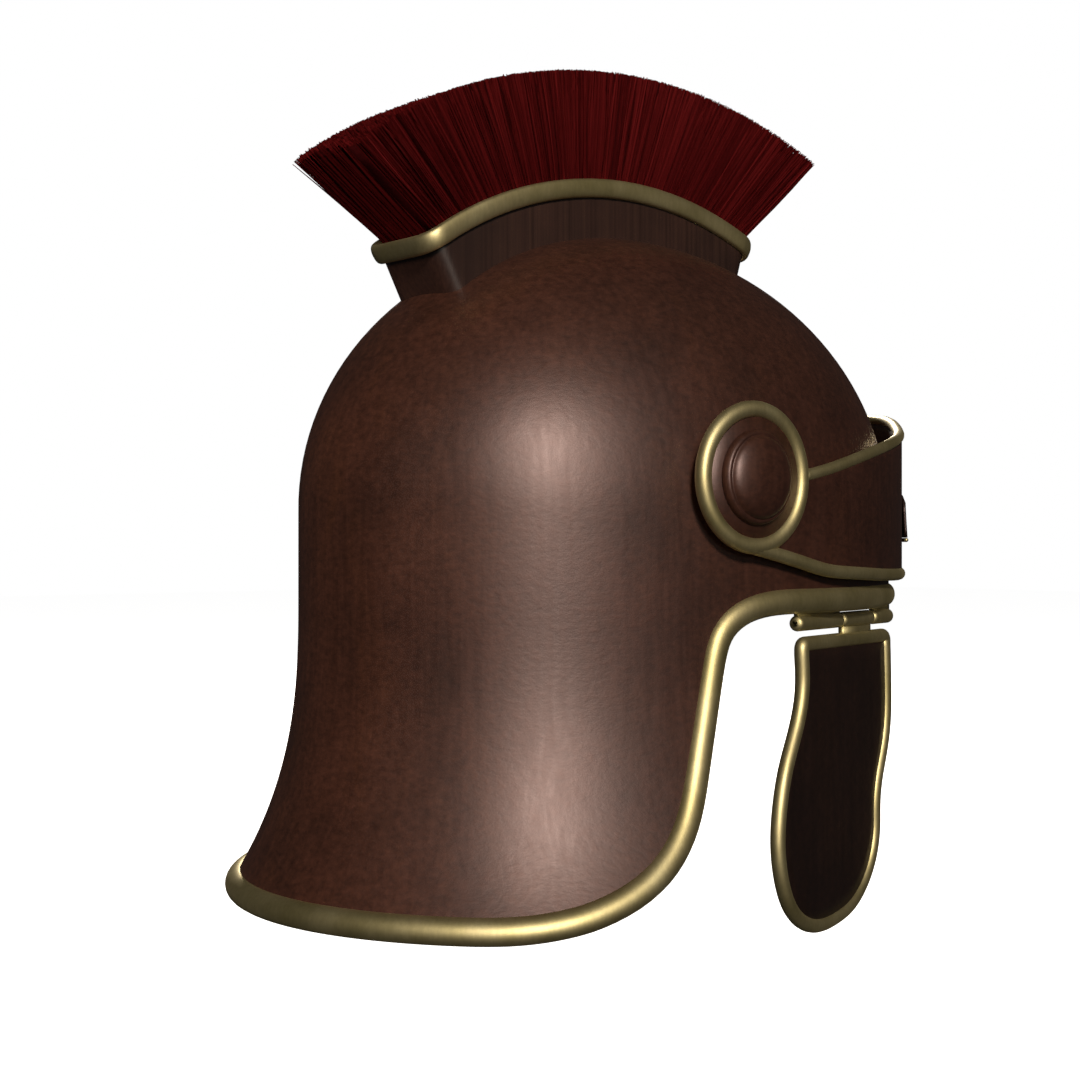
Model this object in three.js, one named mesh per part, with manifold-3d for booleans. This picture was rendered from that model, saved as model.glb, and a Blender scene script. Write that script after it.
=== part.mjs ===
// A Roman legionary helmet: a hardened leather shell with a neck flare, a brass edge binding,
// a wooden crest box with a bristle crest, a standing brow guard with temple bosses, and two
// hinged cheek guards. Millimetres, +Z up, the face looks along -Y and the wearer's right is -X.
// The origin lies in the middle of the head opening, level with the lower edge of the brow.
import * as THREE from "three";
import { mergeVertices } from "three/addons/utils/BufferGeometryUtils.js";
import Module from "manifold-3d";

const wasm = await Module();
wasm.setup();

// Driving dimensions of the shell.
const HALF_LENGTH = 133.4; // outer half length of the skull, along Y
const HALF_WIDTH = 100.1; // outer half width of the skull, along X
const DOME_HEIGHT = 112.2; // from the widest level to the crown
const WIDEST_Z = 33.4; // height of the widest level above the brow edge
const DOME_LEAN = 0.022; // how far the crown lies back, per millimetre of height
const SHELL_WALL = 3;
const RIM_Z = -107; // plane of the neck rim
const RIM_FLARE = 25; // how far the neck rim stands out from the skull
const FLARE_POWER = 2.65;
const BROW_Z = 0.5; // height of the brow edge
const GAP = 0.3; // clearance between neighbouring pieces

// Driving dimensions of the edge binding, the crest and the brow guard.
const BINDING_WIDTH = 9.6;
const BINDING_THICKNESS = 8.4;
const CREST_HALF_WIDTH = 19;
const CREST_CORNER = 8;
const CREST_FRONT = { y: -61, z: 130, slope: -0.36 }; // the front end wall, where it meets the dome
const CREST_BACK = { y: 93, z: 116, slope: 0.6 }; // the back end wall
const CREST_RIM_ARC = { y: 5, z: -4.2, radius: 167 };
const CREST_RIM_HEIGHT = 7.4;
const CREST_RIM_STAND = 2.4;
const BRUSH_TOP_ARC = { y: -5, z: -45.7, radius: 255 };
const BRUSH_TOP_HALF_WIDTH = 22.7;
const BRUSH_FOOT_HALF_WIDTH = 16;
const GUARD_WALL = 2.4;
const TEMPLE = { y: 21, z: 45.3, radius: 24.5 }; // centre and middle radius of the temple ring
const RING_TUBE = 3;
const UPPER_TUBE = 2.2;
const LOWER_TUBE = 2.6;

// Driving dimensions of the hinges and the cheek guards.
const HINGE = { x: -97, y: -9, z: -8, inward: 15.5 }; // rear end of the right hinge and its turn
const KNUCKLE_RADIUS = 3;
const PIN_RADIUS = 1;
const BORE_RADIUS = 1.4;
const KNUCKLES = [
  { from: -2, to: 36, onCheek: false },
  { from: 36.5, to: 64.5, onCheek: true },
  { from: 65, to: 83, onCheek: false },
];
const CHEEK_WALL = 2.6;
const CHEEK_TUBE = 2.8;

const LEATHER = new THREE.MeshStandardMaterial({ color: 0x4a2c20, roughness: 0.38, metalness: 0 });
const WOOD = new THREE.MeshStandardMaterial({ color: 0x3a231b, roughness: 0.5, metalness: 0 });
const BRASS = new THREE.MeshStandardMaterial({ color: 0x8f8350, roughness: 0.3, metalness: 1 });
const BRISTLE = new THREE.MeshStandardMaterial({ color: 0x6a1216, roughness: 0.8, metalness: 0 });
const STEEL = new THREE.MeshStandardMaterial({ color: 0x77726a, roughness: 0.4, metalness: 1 });

// ---------------------------------------------------------------- geometry and booleans

// A closed manifold solid from a three.js geometry.
function solid(geometry) {
  const bare = geometry.clone();
  bare.deleteAttribute("normal");
  bare.deleteAttribute("uv");
  const merged = mergeVertices(bare, 1e-4);
  return new wasm.Manifold(
    new wasm.Mesh({
      numProp: 3,
      vertProperties: new Float32Array(merged.attributes.position.array),
      triVerts: new Uint32Array(merged.index.array),
    }),
  );
}

// The geometry of a manifold solid.
function geometryOf(body) {
  const mesh = body.getMesh();
  const positions = new Float32Array(mesh.numVert * 3);
  for (let i = 0; i < mesh.numVert; i++) {
    positions.set(mesh.vertProperties.subarray(i * mesh.numProp, i * mesh.numProp + 3), i * 3);
  }
  const geometry = new THREE.BufferGeometry();
  geometry.setAttribute("position", new THREE.BufferAttribute(positions, 3));
  geometry.setIndex(new THREE.BufferAttribute(mesh.triVerts, 1));
  geometry.computeVertexNormals();
  return geometry;
}

// A skin over rings of points, each ring a closed loop. The rings either close on the first one
// or end in flat caps.
function skin(rings, closed) {
  const across = rings[0].length;
  const positions = rings.flat().flatMap((p) => [p.x, p.y, p.z]);
  const index = [];
  const spans = closed ? rings.length : rings.length - 1;
  for (let i = 0; i < spans; i++) {
    const here = i * across;
    const next = ((i + 1) % rings.length) * across;
    for (let j = 0; j < across; j++) {
      const k = (j + 1) % across;
      index.push(here + j, here + k, next + k);
      index.push(here + j, next + k, next + j);
    }
  }
  if (!closed) {
    const last = (rings.length - 1) * across;
    for (let j = 1; j < across - 1; j++) {
      index.push(0, j + 1, j);
      index.push(last, last + j, last + j + 1);
    }
  }
  const geometry = new THREE.BufferGeometry();
  geometry.setAttribute("position", new THREE.Float32BufferAttribute(positions, 3));
  geometry.setIndex(index);
  return geometry;
}

// A geometry's solid, turned right side out.
function rightSideOut(geometry) {
  const body = solid(geometry);
  if (body.volume() > 0) {
    return body;
  }
  geometry.index.array.reverse();
  return solid(geometry);
}

function skinSolid(rings, closed) {
  return rightSideOut(skin(rings, closed));
}

// A thick sheet between two grids of points that lie one over the other.
function sheetSolid(under, over) {
  const across = under[0].length;
  const lift = under.length * across;
  const last = lift - across;
  const positions = [...under.flat(), ...over.flat()].flatMap((p) => [p.x, p.y, p.z]);
  const index = [];
  const quad = (a, b, c, d) => index.push(a, b, c, a, c, d);
  for (let row = 0; row < last; row += across) {
    for (let a = row; a < row + across - 1; a++) {
      quad(lift + a, lift + a + 1, lift + a + 1 + across, lift + a + across);
      quad(a + across, a + 1 + across, a + 1, a);
    }
    const end = row + across - 1;
    quad(row, lift + row, lift + row + across, row + across);
    quad(lift + end, end, end + across, lift + end + across);
  }
  for (let a = 0; a < across - 1; a++) {
    quad(a, a + 1, lift + a + 1, lift + a);
    quad(lift + last + a, lift + last + a + 1, last + a + 1, last + a);
  }
  const geometry = new THREE.BufferGeometry();
  geometry.setAttribute("position", new THREE.Float32BufferAttribute(positions, 3));
  geometry.setIndex(index);
  return rightSideOut(geometry);
}

// A side view outline (points are y, z) pushed through from one x to another.
function sidePrism(outline, fromX, toX) {
  const shape = new THREE.Shape(outline);
  const geometry = new THREE.ExtrudeGeometry(shape, { depth: toX - fromX, bevelEnabled: false });
  const sideways = new THREE.Matrix4().makeBasis(
    new THREE.Vector3(0, 1, 0),
    new THREE.Vector3(0, 0, 1),
    new THREE.Vector3(1, 0, 0),
  );
  geometry.applyMatrix4(sideways);
  geometry.translate(fromX, 0, 0);
  return solid(geometry);
}

// The points of an ellipse, as [sideways, outwards] pairs.
function ellipse(width, thickness, sides) {
  return Array.from({ length: sides }, (_, i) => {
    const angle = ((i + 0.5) / sides) * 2 * Math.PI;
    return [(Math.cos(angle) * width) / 2, (Math.sin(angle) * thickness) / 2];
  });
}

// A section swept along a path. outwardAt gives the direction that the section's thickness takes.
function sweep(path, outwardAt, section, closed) {
  const count = path.length;
  const rings = path.map((point, i) => {
    const before = path[closed ? (i + count - 1) % count : Math.max(i - 1, 0)];
    const after = path[closed ? (i + 1) % count : Math.min(i + 1, count - 1)];
    const along = after.clone().sub(before).normalize();
    const outward = outwardAt(point, i).clone();
    outward.addScaledVector(along, -outward.dot(along)).normalize();
    const sideways = new THREE.Vector3().crossVectors(along, outward);
    return section.map(([s, o]) =>
      point.clone().addScaledVector(sideways, s).addScaledVector(outward, o),
    );
  });
  return skinSolid(rings, closed);
}

// The same solid on the wearer's left.
function mirrored(body) {
  const geometry = geometryOf(body);
  const index = geometry.index.array;
  geometry.scale(-1, 1, 1);
  for (let i = 0; i < index.length; i += 3) {
    [index[i + 1], index[i + 2]] = [index[i + 2], index[i + 1]];
  }
  return solid(geometry);
}

// ---------------------------------------------------------------- the shell's surface

// Half length, half width and middle of the level section at a height. depth is how far the
// surface lies inside the outer one.
function levelAt(z, depth = 0) {
  const flare = z < 0 ? RIM_FLARE * Math.pow(z / RIM_Z, FLARE_POWER) : 0;
  const rise = Math.max(0, z - WIDEST_Z) / (DOME_HEIGHT - depth);
  const shrink = Math.sqrt(Math.max(0, 1 - rise * rise));
  return {
    length: (HALF_LENGTH - depth) * shrink + flare,
    width: (HALF_WIDTH - depth) * shrink + flare,
    middle: DOME_LEAN * Math.max(0, z - WIDEST_Z),
  };
}

// A point of the surface at a height and a turn about the vertical: 0 is the face, a quarter is
// the wearer's right.
function pointAtTurn(turn, z, depth) {
  const level = levelAt(z, depth);
  return new THREE.Vector3(
    -level.width * Math.sin(turn),
    level.middle - level.length * Math.cos(turn),
    z,
  );
}

// The point of the surface on the wearer's right at a place y, z of the side view.
function pointAtSide(y, z, depth) {
  const level = levelAt(z, depth);
  const share = (y - level.middle) / level.length;
  return new THREE.Vector3(-level.width * Math.sqrt(Math.max(0, 1 - share * share)), y, z);
}

// The outward direction of the surface at a point on it.
function outwardOf(point) {
  const step = 0.5;
  const turn = Math.atan2(
    -point.x / levelAt(point.z).width,
    (levelAt(point.z).middle - point.y) / levelAt(point.z).length,
  );
  const depth = SHELL_WALL / 2;
  const alongTurn = pointAtTurn(turn + 0.01, point.z, depth);
  alongTurn.sub(pointAtTurn(turn - 0.01, point.z, depth));
  const alongRise = pointAtTurn(turn, point.z + step, depth);
  alongRise.sub(pointAtTurn(turn, point.z - step, depth));
  return alongTurn.cross(alongRise).normalize().multiplyScalar(-1);
}

// The full bell: the surface from below the rim to the crown, closed at both ends.
function bell(depth) {
  const around = 44;
  const below = [-114, -98, -82, -64, -42, -14];
  const steps = 8;
  const crown = DOME_HEIGHT - depth;
  const heights = [...below];
  for (let i = 0; i <= steps; i++) {
    heights.push(WIDEST_Z + crown * Math.sin((i / steps) * 0.5 * Math.PI * 0.97));
  }
  const rings = heights.map((z) =>
    Array.from({ length: around }, (_, i) => pointAtTurn((i / around) * 2 * Math.PI, z, depth)),
  );
  return skinSolid(rings, false);
}

const EDGE_STEPS = 5; // straight pieces in each curve of the edge

// The edge of the shell in side view, from the brow to the neck rim: level under the brow, round
// over the ear, down the cheek and round again into the neck rim.
function edgeOutline(pointsPerCurve) {
  const start = new THREE.Vector2(-3, BROW_Z);
  const curves = [
    [[14, BROW_Z], [29.2, -2], [33.2, -16]],
    [[37.2, -36], [41.2, -50], [47.2, -65.5]],
    [[54.2, -83], [67.2, -95.4], [91.5, -102.6]],
    [[101.7, -105.3], [112, RIM_Z], [124, RIM_Z]],
  ];
  let from = start;
  const points = [start];
  for (const [first, second, end] of curves) {
    const to = new THREE.Vector2(...end);
    const curve = new THREE.CubicBezierCurve(
      from,
      new THREE.Vector2(...first),
      new THREE.Vector2(...second),
      to,
    );
    points.push(...curve.getPoints(pointsPerCurve).slice(1));
    from = to;
  }
  return points;
}

// The space in front of and below the edge, which the shell leaves open. grow moves the edge
// down and forward.
function openingSolid(grow) {
  const edge = edgeOutline(EDGE_STEPS).map((p) => new THREE.Vector2(p.x - grow, p.y - grow));
  const outline = [
    new THREE.Vector2(-220, BROW_Z - grow),
    ...edge,
    new THREE.Vector2(220, RIM_Z - grow),
    new THREE.Vector2(220, -150),
    new THREE.Vector2(-220, -150),
  ];
  return sidePrism(outline, -200, 200);
}

// The shell's own solid, with all its faces moved outwards by grow.
function shellSolid(grow) {
  return bell(-grow).subtract(bell(SHELL_WALL + grow)).subtract(openingSolid(grow));
}

// The closed loop of the shell's edge, on the middle of its wall.
function edgeLoop() {
  const depth = SHELL_WALL / 2;
  const outline = edgeOutline(EDGE_STEPS);
  const right = outline.map((p) => pointAtSide(p.x, p.y, depth));
  const turnOf = (y, z) => Math.acos((levelAt(z, depth).middle - y) / levelAt(z, depth).length);
  const browTurn = turnOf(outline[0].x, BROW_Z);
  const rimTurn = turnOf(outline[outline.length - 1].x, RIM_Z);
  const browSteps = 10;
  const rimSteps = 8;
  const brow = [];
  for (let i = 1; i < browSteps; i++) {
    brow.push(pointAtTurn((browTurn * i) / browSteps, BROW_Z, depth));
  }
  const rim = [];
  for (let i = 1; i < rimSteps; i++) {
    rim.push(pointAtTurn(rimTurn + ((Math.PI - rimTurn) * i) / rimSteps, RIM_Z, depth));
  }
  const half = [...brow, ...right, ...rim];
  const left = [...half].reverse().map((p) => new THREE.Vector3(-p.x, p.y, p.z));
  const front = pointAtTurn(0, BROW_Z, depth);
  const back = pointAtTurn(Math.PI, RIM_Z, depth);
  return [front, ...half, back, ...left];
}

// ---------------------------------------------------------------- the crest

// The height of an arc over a place y.
function arcHeight(arc, y) {
  return arc.z + Math.sqrt(arc.radius * arc.radius - (y - arc.y) * (y - arc.y));
}

// Where an end wall of the crest box stands at a height.
function endWall(end, z) {
  return end.y + (z - end.z) * end.slope;
}

// A level rectangle with round corners, from one end of the crest to the other.
function roundedLevel(z, half, front, back, corner, perCorner) {
  const centres = [
    [-half + corner, back - corner, 0.5],
    [-half + corner, front + corner, 1],
    [half - corner, front + corner, 1.5],
    [half - corner, back - corner, 2],
  ];
  return centres.flatMap(([x, y, quarter]) =>
    Array.from({ length: perCorner + 1 }, (_, i) => {
      const angle = (quarter + (0.5 * i) / perCorner) * Math.PI;
      return new THREE.Vector3(x + corner * Math.cos(angle), y + corner * Math.sin(angle), z);
    }),
  );
}

// The crest box's outline at a height, moved outwards by grow.
function crestOutline(z, grow) {
  const front = endWall(CREST_FRONT, z) - grow;
  const back = endWall(CREST_BACK, z) + grow;
  return roundedLevel(z, CREST_HALF_WIDTH + grow, front, back, CREST_CORNER + grow, 4);
}

// The crest box's walls, from inside the dome to above the rim.
function crestPrism(grow) {
  return skinSolid([crestOutline(90, grow), crestOutline(185, grow)], false);
}

// The side view region under an arc, moved up by raise.
function underArc(arc, raise) {
  const points = [];
  for (let y = -130; y <= 160; y += 14.5) {
    points.push(new THREE.Vector2(y, arcHeight(arc, y) + raise));
  }
  points.push(new THREE.Vector2(160, 50));
  points.push(new THREE.Vector2(-130, 50));
  return sidePrism(points, -60, 60);
}

// The box's top lies a little below the top of the rim.
const BOX_TOP = CREST_RIM_HEIGHT / 2 - 0.8;

function crestBox() {
  return crestPrism(0).intersect(underArc(CREST_RIM_ARC, BOX_TOP)).subtract(bell(-GAP));
}

// The rim's path runs round the box at the height of the rim arc: each point of a level outline
// moves up or down the wall until it lies on the arc.
function crestRimPath() {
  const level = 150;
  const corners = crestOutline(level, 0);
  const middle = (endWall(CREST_FRONT, level) + endWall(CREST_BACK, level)) / 2;
  const path = [];
  corners.forEach((p, i) => {
    const q = corners[(i + 1) % corners.length];
    const pieces = Math.max(1, Math.round(p.distanceTo(q) / 13));
    for (let k = 0; k < pieces; k++) {
      path.push(p.clone().lerp(q, k / pieces));
    }
  });
  for (const point of path) {
    const end = point.y < middle ? CREST_FRONT : CREST_BACK;
    const share = (point.y - middle) / (endWall(end, level) - middle);
    for (let i = 0; i < 5; i++) {
      point.z = arcHeight(CREST_RIM_ARC, point.y);
      point.y = middle + (endWall(end, point.z) - middle) * share;
    }
  }
  return path;
}

// A half round band that stands out from the box's walls, square to them.
function crestRim() {
  const path = crestRimPath();
  const outward = (point, i) => {
    const before = path[(i + path.length - 1) % path.length];
    const after = path[(i + 1) % path.length];
    const square = new THREE.Vector3(after.y - before.y, before.x - after.x, 0).normalize();
    const end = square.y < 0 ? CREST_FRONT : CREST_BACK;
    square.z = -Math.abs(square.y * end.slope);
    return square;
  };
  const half = CREST_RIM_HEIGHT / 2;
  const section = [
    [-half, GAP],
    [half, GAP],
    [half, 1],
    [0.55 * half, CREST_RIM_STAND],
    [-0.55 * half, CREST_RIM_STAND],
    [-half, 1],
  ];
  return sweep(path, outward, section, true);
}

// The brush is the outer form of the bristles: a fan that widens towards its top. Its end walls
// lean out from the rim.
const BRUSH_FRONT = { y: -67, z: 151, slope: -1.152 };
const BRUSH_BACK = { y: 103, z: 137, slope: 1.333 };

function crestBrush() {
  const level = (z, half) =>
    roundedLevel(z, half, endWall(BRUSH_FRONT, z), endWall(BRUSH_BACK, z), CREST_CORNER, 4);
  const foot = level(120, BRUSH_FOOT_HALF_WIDTH);
  const fan = skinSolid([foot, level(215, BRUSH_TOP_HALF_WIDTH)], false);
  const body = fan.intersect(underArc(BRUSH_TOP_ARC, 0));
  return body.subtract(underArc(CREST_RIM_ARC, BOX_TOP + GAP));
}

// ---------------------------------------------------------------- the brow guard

// The guard's middle line in plan, from the right temple round the forehead to the left one.
function guardPlan() {
  const right = [
    [-101.8, 50],
    [-103.2, 30],
    [-103.6, 10],
    [-102.9, -12],
    [-99.5, -38],
    [-90.2, -67],
    [-75.8, -94],
    [-55.5, -119],
    [-30, -141.5],
  ];
  const left = [...right].reverse().map(([x, y]) => [-x, y]);
  const points = [...right, [0, -153], ...left];
  return new THREE.CatmullRomCurve3(points.map(([x, y]) => new THREE.Vector3(x, y, 0)));
}

// How far along the guard's middle line, from 0 to 1, it passes a place y on the wearer's right.
function guardShareAt(y) {
  const curve = guardPlan();
  let low = 0;
  let high = 0.5;
  for (let i = 0; i < 40; i++) {
    const middle = (low + high) / 2;
    if (curve.getPoint(middle).y > y) {
      low = middle;
    } else {
      high = middle;
    }
  }
  return low;
}

// The outward direction of the guard, square to its middle line.
function guardOutwardAt(share) {
  const along = guardPlan().getTangent(share);
  return new THREE.Vector3(along.y, -along.x, 0);
}

// Heights of the guard's upper and lower edges at a place y.
const UPPER_HEIGHTS = [
  [-160, 80],
  [-140, 76.4],
  [-117, 70],
  [-85, 63.2],
  [-60, 58.4],
  [-38, 53.6],
  [-18, 48.9],
  [-3, 46],
];
const LOWER_HEIGHTS = [
  [-160, 9],
  [-110, 9],
  [-60, 9.6],
  [-33, 10.8],
  [-18, 12],
  [-8, 14],
  [5, 16.9],
  [17, 19.4],
  [26, 21.3],
];
const [upperEdge, lowerEdge] = [UPPER_HEIGHTS, LOWER_HEIGHTS].map(
  (heights) => new THREE.SplineCurve(heights.map(([y, z]) => new THREE.Vector2(y, z))),
);

function edgeHeight(edge, y) {
  const points = edge.getPoints(60);
  const i = Math.max(1, points.findIndex((p) => p.x >= y));
  const share = (y - points[i - 1].x) / (points[i].x - points[i - 1].x);
  return points[i - 1].y + share * (points[i].y - points[i - 1].y);
}

const GUARD_SPANS = 36; // straight pieces in the guard's plan

// A standing wall along the guard's plan.
function guardWall() {
  const tall = 90;
  const section = [
    [-tall, -GUARD_WALL / 2],
    [tall, -GUARD_WALL / 2],
    [tall, GUARD_WALL / 2],
    [-tall, GUARD_WALL / 2],
  ];
  const path = guardPlan().getPoints(GUARD_SPANS);
  return sweep(path, (_, i) => guardOutwardAt(i / GUARD_SPANS), section, false);
}

// A circle round the temple's centre in side view.
function templeCircle(radius, sides) {
  return Array.from({ length: sides }, (_, i) => {
    const angle = (i / sides) * 2 * Math.PI;
    const spoke = new THREE.Vector2(Math.cos(angle), Math.sin(angle)).multiplyScalar(radius);
    return spoke.add(new THREE.Vector2(TEMPLE.y, TEMPLE.z));
  });
}

// The guard's band ends short of its trim: between the two tubes, and in front of both rings.
function browGuard() {
  const front = -156;
  const step = 12;
  const places = [];
  for (let y = front; y <= TEMPLE.y; y += step) {
    places.push(y);
  }
  const low = places.map(
    (y) => new THREE.Vector2(y, edgeHeight(lowerEdge, y) + LOWER_TUBE + GAP),
  );
  const high = places.map(
    (y) => new THREE.Vector2(y, edgeHeight(upperEdge, Math.min(y, -4)) - UPPER_TUBE - GAP),
  );
  const ring = sidePrism(templeCircle(TEMPLE.radius + RING_TUBE + GAP, 28), -141, 141);
  const outline = sidePrism([...low, ...high.reverse()], -140, 140).subtract(ring);
  return guardWall().intersect(outline);
}

// The disc inside a temple ring, with a hole for the boss's stud.
function templeDisc() {
  const outline = sidePrism(templeCircle(TEMPLE.radius - RING_TUBE - GAP, 24), -140, -60);
  return guardWall().intersect(outline).subtract(studRod(STUD_RADIUS + GAP));
}

// Both tubes and both temple rings, soldered into one.
function browTrim() {
  const ringPath = templeCircle(TEMPLE.radius, 22).map(
    (p) => new THREE.Vector3(guardPlan().getPoint(guardShareAt(p.x)).x - 0.2, p.x, p.y),
  );
  const ring = sweep(
    ringPath,
    () => new THREE.Vector3(-1, 0, 0),
    ellipse(2 * RING_TUBE, 2 * RING_TUBE, 8),
    true,
  );
  const tube = (edge, fromY, radius, count) => {
    const start = guardShareAt(fromY);
    const shares = Array.from(
      { length: count + 1 },
      (_, i) => start + ((1 - 2 * start) * i) / count,
    );
    const path = shares.map((share) => {
      const point = guardPlan().getPoint(share);
      return new THREE.Vector3(point.x, point.y, edgeHeight(edge, point.y));
    });
    const section = ellipse(2 * radius, 2 * radius, 8);
    return sweep(path, (_, i) => guardOutwardAt(shares[i]), section, false);
  };
  const upper = tube(upperEdge, -3.2, UPPER_TUBE, 24);
  const lower = tube(lowerEdge, 22, LOWER_TUBE, 28);
  return ring.add(mirrored(ring)).add(upper).add(lower);
}

// The temple boss: a two-stepped dome whose stud goes through the disc and the shell.
const STUD_RADIUS = 2.5;
const BOSS_RADIUS = 17;
const STUD_INNER_X = -95.5;

// A rod across the right temple.
function studRod(radius) {
  const geometry = new THREE.CylinderGeometry(radius, radius, 30, 10);
  geometry.rotateZ(Math.PI / 2);
  geometry.translate(-100, TEMPLE.y, TEMPLE.z);
  return solid(geometry);
}

function templeBoss() {
  const middle = guardPlan().getPoint(guardShareAt(TEMPLE.y)).x;
  const face = middle - GUARD_WALL / 2 - 0.6;
  const profile = [
    [0, face - STUD_INNER_X],
    [STUD_RADIUS, face - STUD_INNER_X],
    [STUD_RADIUS, 0],
    [BOSS_RADIUS, 0],
    [BOSS_RADIUS - 0.6, 1.6],
    [BOSS_RADIUS - 2.6, 2.3],
    [BOSS_RADIUS - 3.6, 3.8],
    [9, 5.8],
    [4.5, 6.8],
    [0, 7],
  ].map(([radius, out]) => new THREE.Vector2(radius, out));
  const geometry = new THREE.LatheGeometry(profile, 20);
  geometry.rotateZ(Math.PI / 2);
  geometry.translate(face, TEMPLE.y, TEMPLE.z);
  return solid(geometry);
}

// The plaque: a thin plate on the front of the guard. Its upper part follows the guard, and it
// leans out towards its foot, which a wire edges.
const PLAQUE = { foot: 24, side: 39, lean: 1, wall: 1.2, wire: 0.9, clearance: 0.9 };
const PLAQUE_SPANS = 8;

// A level line of the plaque from its right end to its left one, moved out by offset. reach is
// the share of the full width that it spans.
function plaqueLine(z, reach, offset) {
  const fall = Math.max(0, PLAQUE.side + 6 - z) / (PLAQUE.side + 6 - PLAQUE.foot);
  const lean = PLAQUE.lean * Math.pow(fall, 1.4);
  const out = GUARD_WALL / 2 + PLAQUE.clearance + lean + offset;
  return Array.from({ length: PLAQUE_SPANS + 1 }, (_, i) => {
    const share = 0.5 + (reach * (i - PLAQUE_SPANS / 2)) / GUARD_SPANS;
    const point = guardPlan().getPoint(share);
    return new THREE.Vector3(point.x, point.y, z).addScaledVector(guardOutwardAt(share), out);
  });
}

function browPlaque() {
  const levels = [
    [PLAQUE.foot, 1],
    [31, 1],
    [PLAQUE.side, 1],
    [45, 0.75],
    [52, 0.5],
    [58, 0.22],
  ];
  const under = levels.map(([z, reach]) => plaqueLine(z, reach, 0));
  const over = levels.map(([z, reach]) => plaqueLine(z, reach, PLAQUE.wall));
  return sheetSolid(under, over);
}

function plaqueWire() {
  const path = plaqueLine(PLAQUE.foot - PLAQUE.wire - GAP, 1, PLAQUE.wall / 2);
  const section = ellipse(2 * PLAQUE.wire, 2 * PLAQUE.wire, 8);
  return sweep(path, () => new THREE.Vector3(0, 0, 1), section, false);
}

// ---------------------------------------------------------------- hinges and cheek guards

// The hinge's own axes: X along the hinge towards the front, Y up and Z outwards.
const hingeTurn = THREE.MathUtils.degToRad(HINGE.inward);
const hingeAlong = new THREE.Vector3(Math.sin(hingeTurn), -Math.cos(hingeTurn), 0);
const up = new THREE.Vector3(0, 0, 1);
const hingeFrame = new THREE.Matrix4()
  .makeBasis(hingeAlong, up, new THREE.Vector3().crossVectors(hingeAlong, up))
  .setPosition(HINGE.x, HINGE.y, HINGE.z);

// A body from the hinge's own axes, placed on the helmet.
function inHinge(body) {
  return solid(geometryOf(body).applyMatrix4(hingeFrame));
}

// A rod along the hinge.
function hingeRod(radius, from, to, sides) {
  const geometry = new THREE.CylinderGeometry(radius, radius, to - from, sides);
  geometry.rotateZ(Math.PI / 2);
  geometry.translate((from + to) / 2, 0, 0);
  return solid(geometry);
}

// A knuckle and the tab that joins it to the binding above or below.
function knuckle({ from, to, onCheek }) {
  const tab = new THREE.BoxGeometry(to - from - 3, 6.5, 2.4);
  tab.translate((from + to) / 2, onCheek ? -5.2 : 5.2, 0);
  return hingeRod(KNUCKLE_RADIUS, from, to, 12)
    .add(solid(tab))
    .subtract(hingeRod(BORE_RADIUS, from - 5, to + 5, 10));
}

// The middle line of the cheek guard's binding in the hinge's own axes, moved inwards by inset.
// It runs down the rear edge, round the chin, up the front edge and back along the top.
function cheekOutline(inset) {
  const top = -7.9 - inset;
  const corner = 1.6;
  const rear = [
    [3.6, -12],
    [3.9, -25],
    [-1.2, -39],
    [-9.5, -53],
    [-14.4, -67],
    [-15.8, -79],
    [-13.4, -92],
    [-6.5, -104],
    [4, -111.6],
    [16, -115],
  ];
  const front = [
    [30, -115],
    [44, -112.6],
    [57, -105.5],
    [65.5, -95],
    [68.4, -85],
    [68.6, -76],
    [70.6, -66],
    [75.4, -55],
    [78.8, -44],
    [79.6, -31],
    [78.6, -12],
  ];
  const points = [...rear, ...front].map(([s, z]) => new THREE.Vector2(s, z));
  const curve = new THREE.SplineCurve(points).getPoints(30);
  const inner = curve.map((p, i) => {
    const before = curve[Math.max(0, i - 1)];
    const after = curve[Math.min(curve.length - 1, i + 1)];
    const along = after.clone().sub(before).normalize();
    return new THREE.Vector2(p.x - along.y * inset, p.y + along.x * inset);
  });
  const rearTop = inner[0].x;
  const frontTop = inner[inner.length - 1].x;
  return [
    ...inner,
    new THREE.Vector2(frontTop - 0.3, top - corner),
    new THREE.Vector2(frontTop - corner, top - 0.3),
    ...[0.1, 0.5, 0.9].map((t) => new THREE.Vector2(frontTop + t * (rearTop - frontTop), top)),
    new THREE.Vector2(rearTop + corner, top - 0.3),
    new THREE.Vector2(rearTop + 0.3, top - corner),
  ];
}

function cheekPlate() {
  const shape = new THREE.Shape(cheekOutline(CHEEK_TUBE + GAP));
  const geometry = new THREE.ExtrudeGeometry(shape, { depth: CHEEK_WALL, bevelEnabled: false });
  geometry.translate(0, 0, -CHEEK_WALL / 2);
  return solid(geometry);
}

function cheekBinding() {
  const path = cheekOutline(0).map((p) => new THREE.Vector3(p.x, p.y, 0));
  const section = ellipse(2 * CHEEK_TUBE, 2 * CHEEK_TUBE, 8);
  const tube = sweep(path, () => new THREE.Vector3(0, 0, 1), section, true);
  return KNUCKLES.filter((k) => k.onCheek)
    .map(knuckle)
    .reduce((sum, k) => sum.add(k), tube);
}

// ---------------------------------------------------------------- the assembly

const helmet = new THREE.Group();

function place(name, body, material) {
  const mesh = new THREE.Mesh(geometryOf(body), material);
  mesh.name = name;
  helmet.add(mesh);
}

const studHole = studRod(STUD_RADIUS + GAP);
place("shell", shellSolid(0).subtract(studHole).subtract(mirrored(studHole)), LEATHER);

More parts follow.
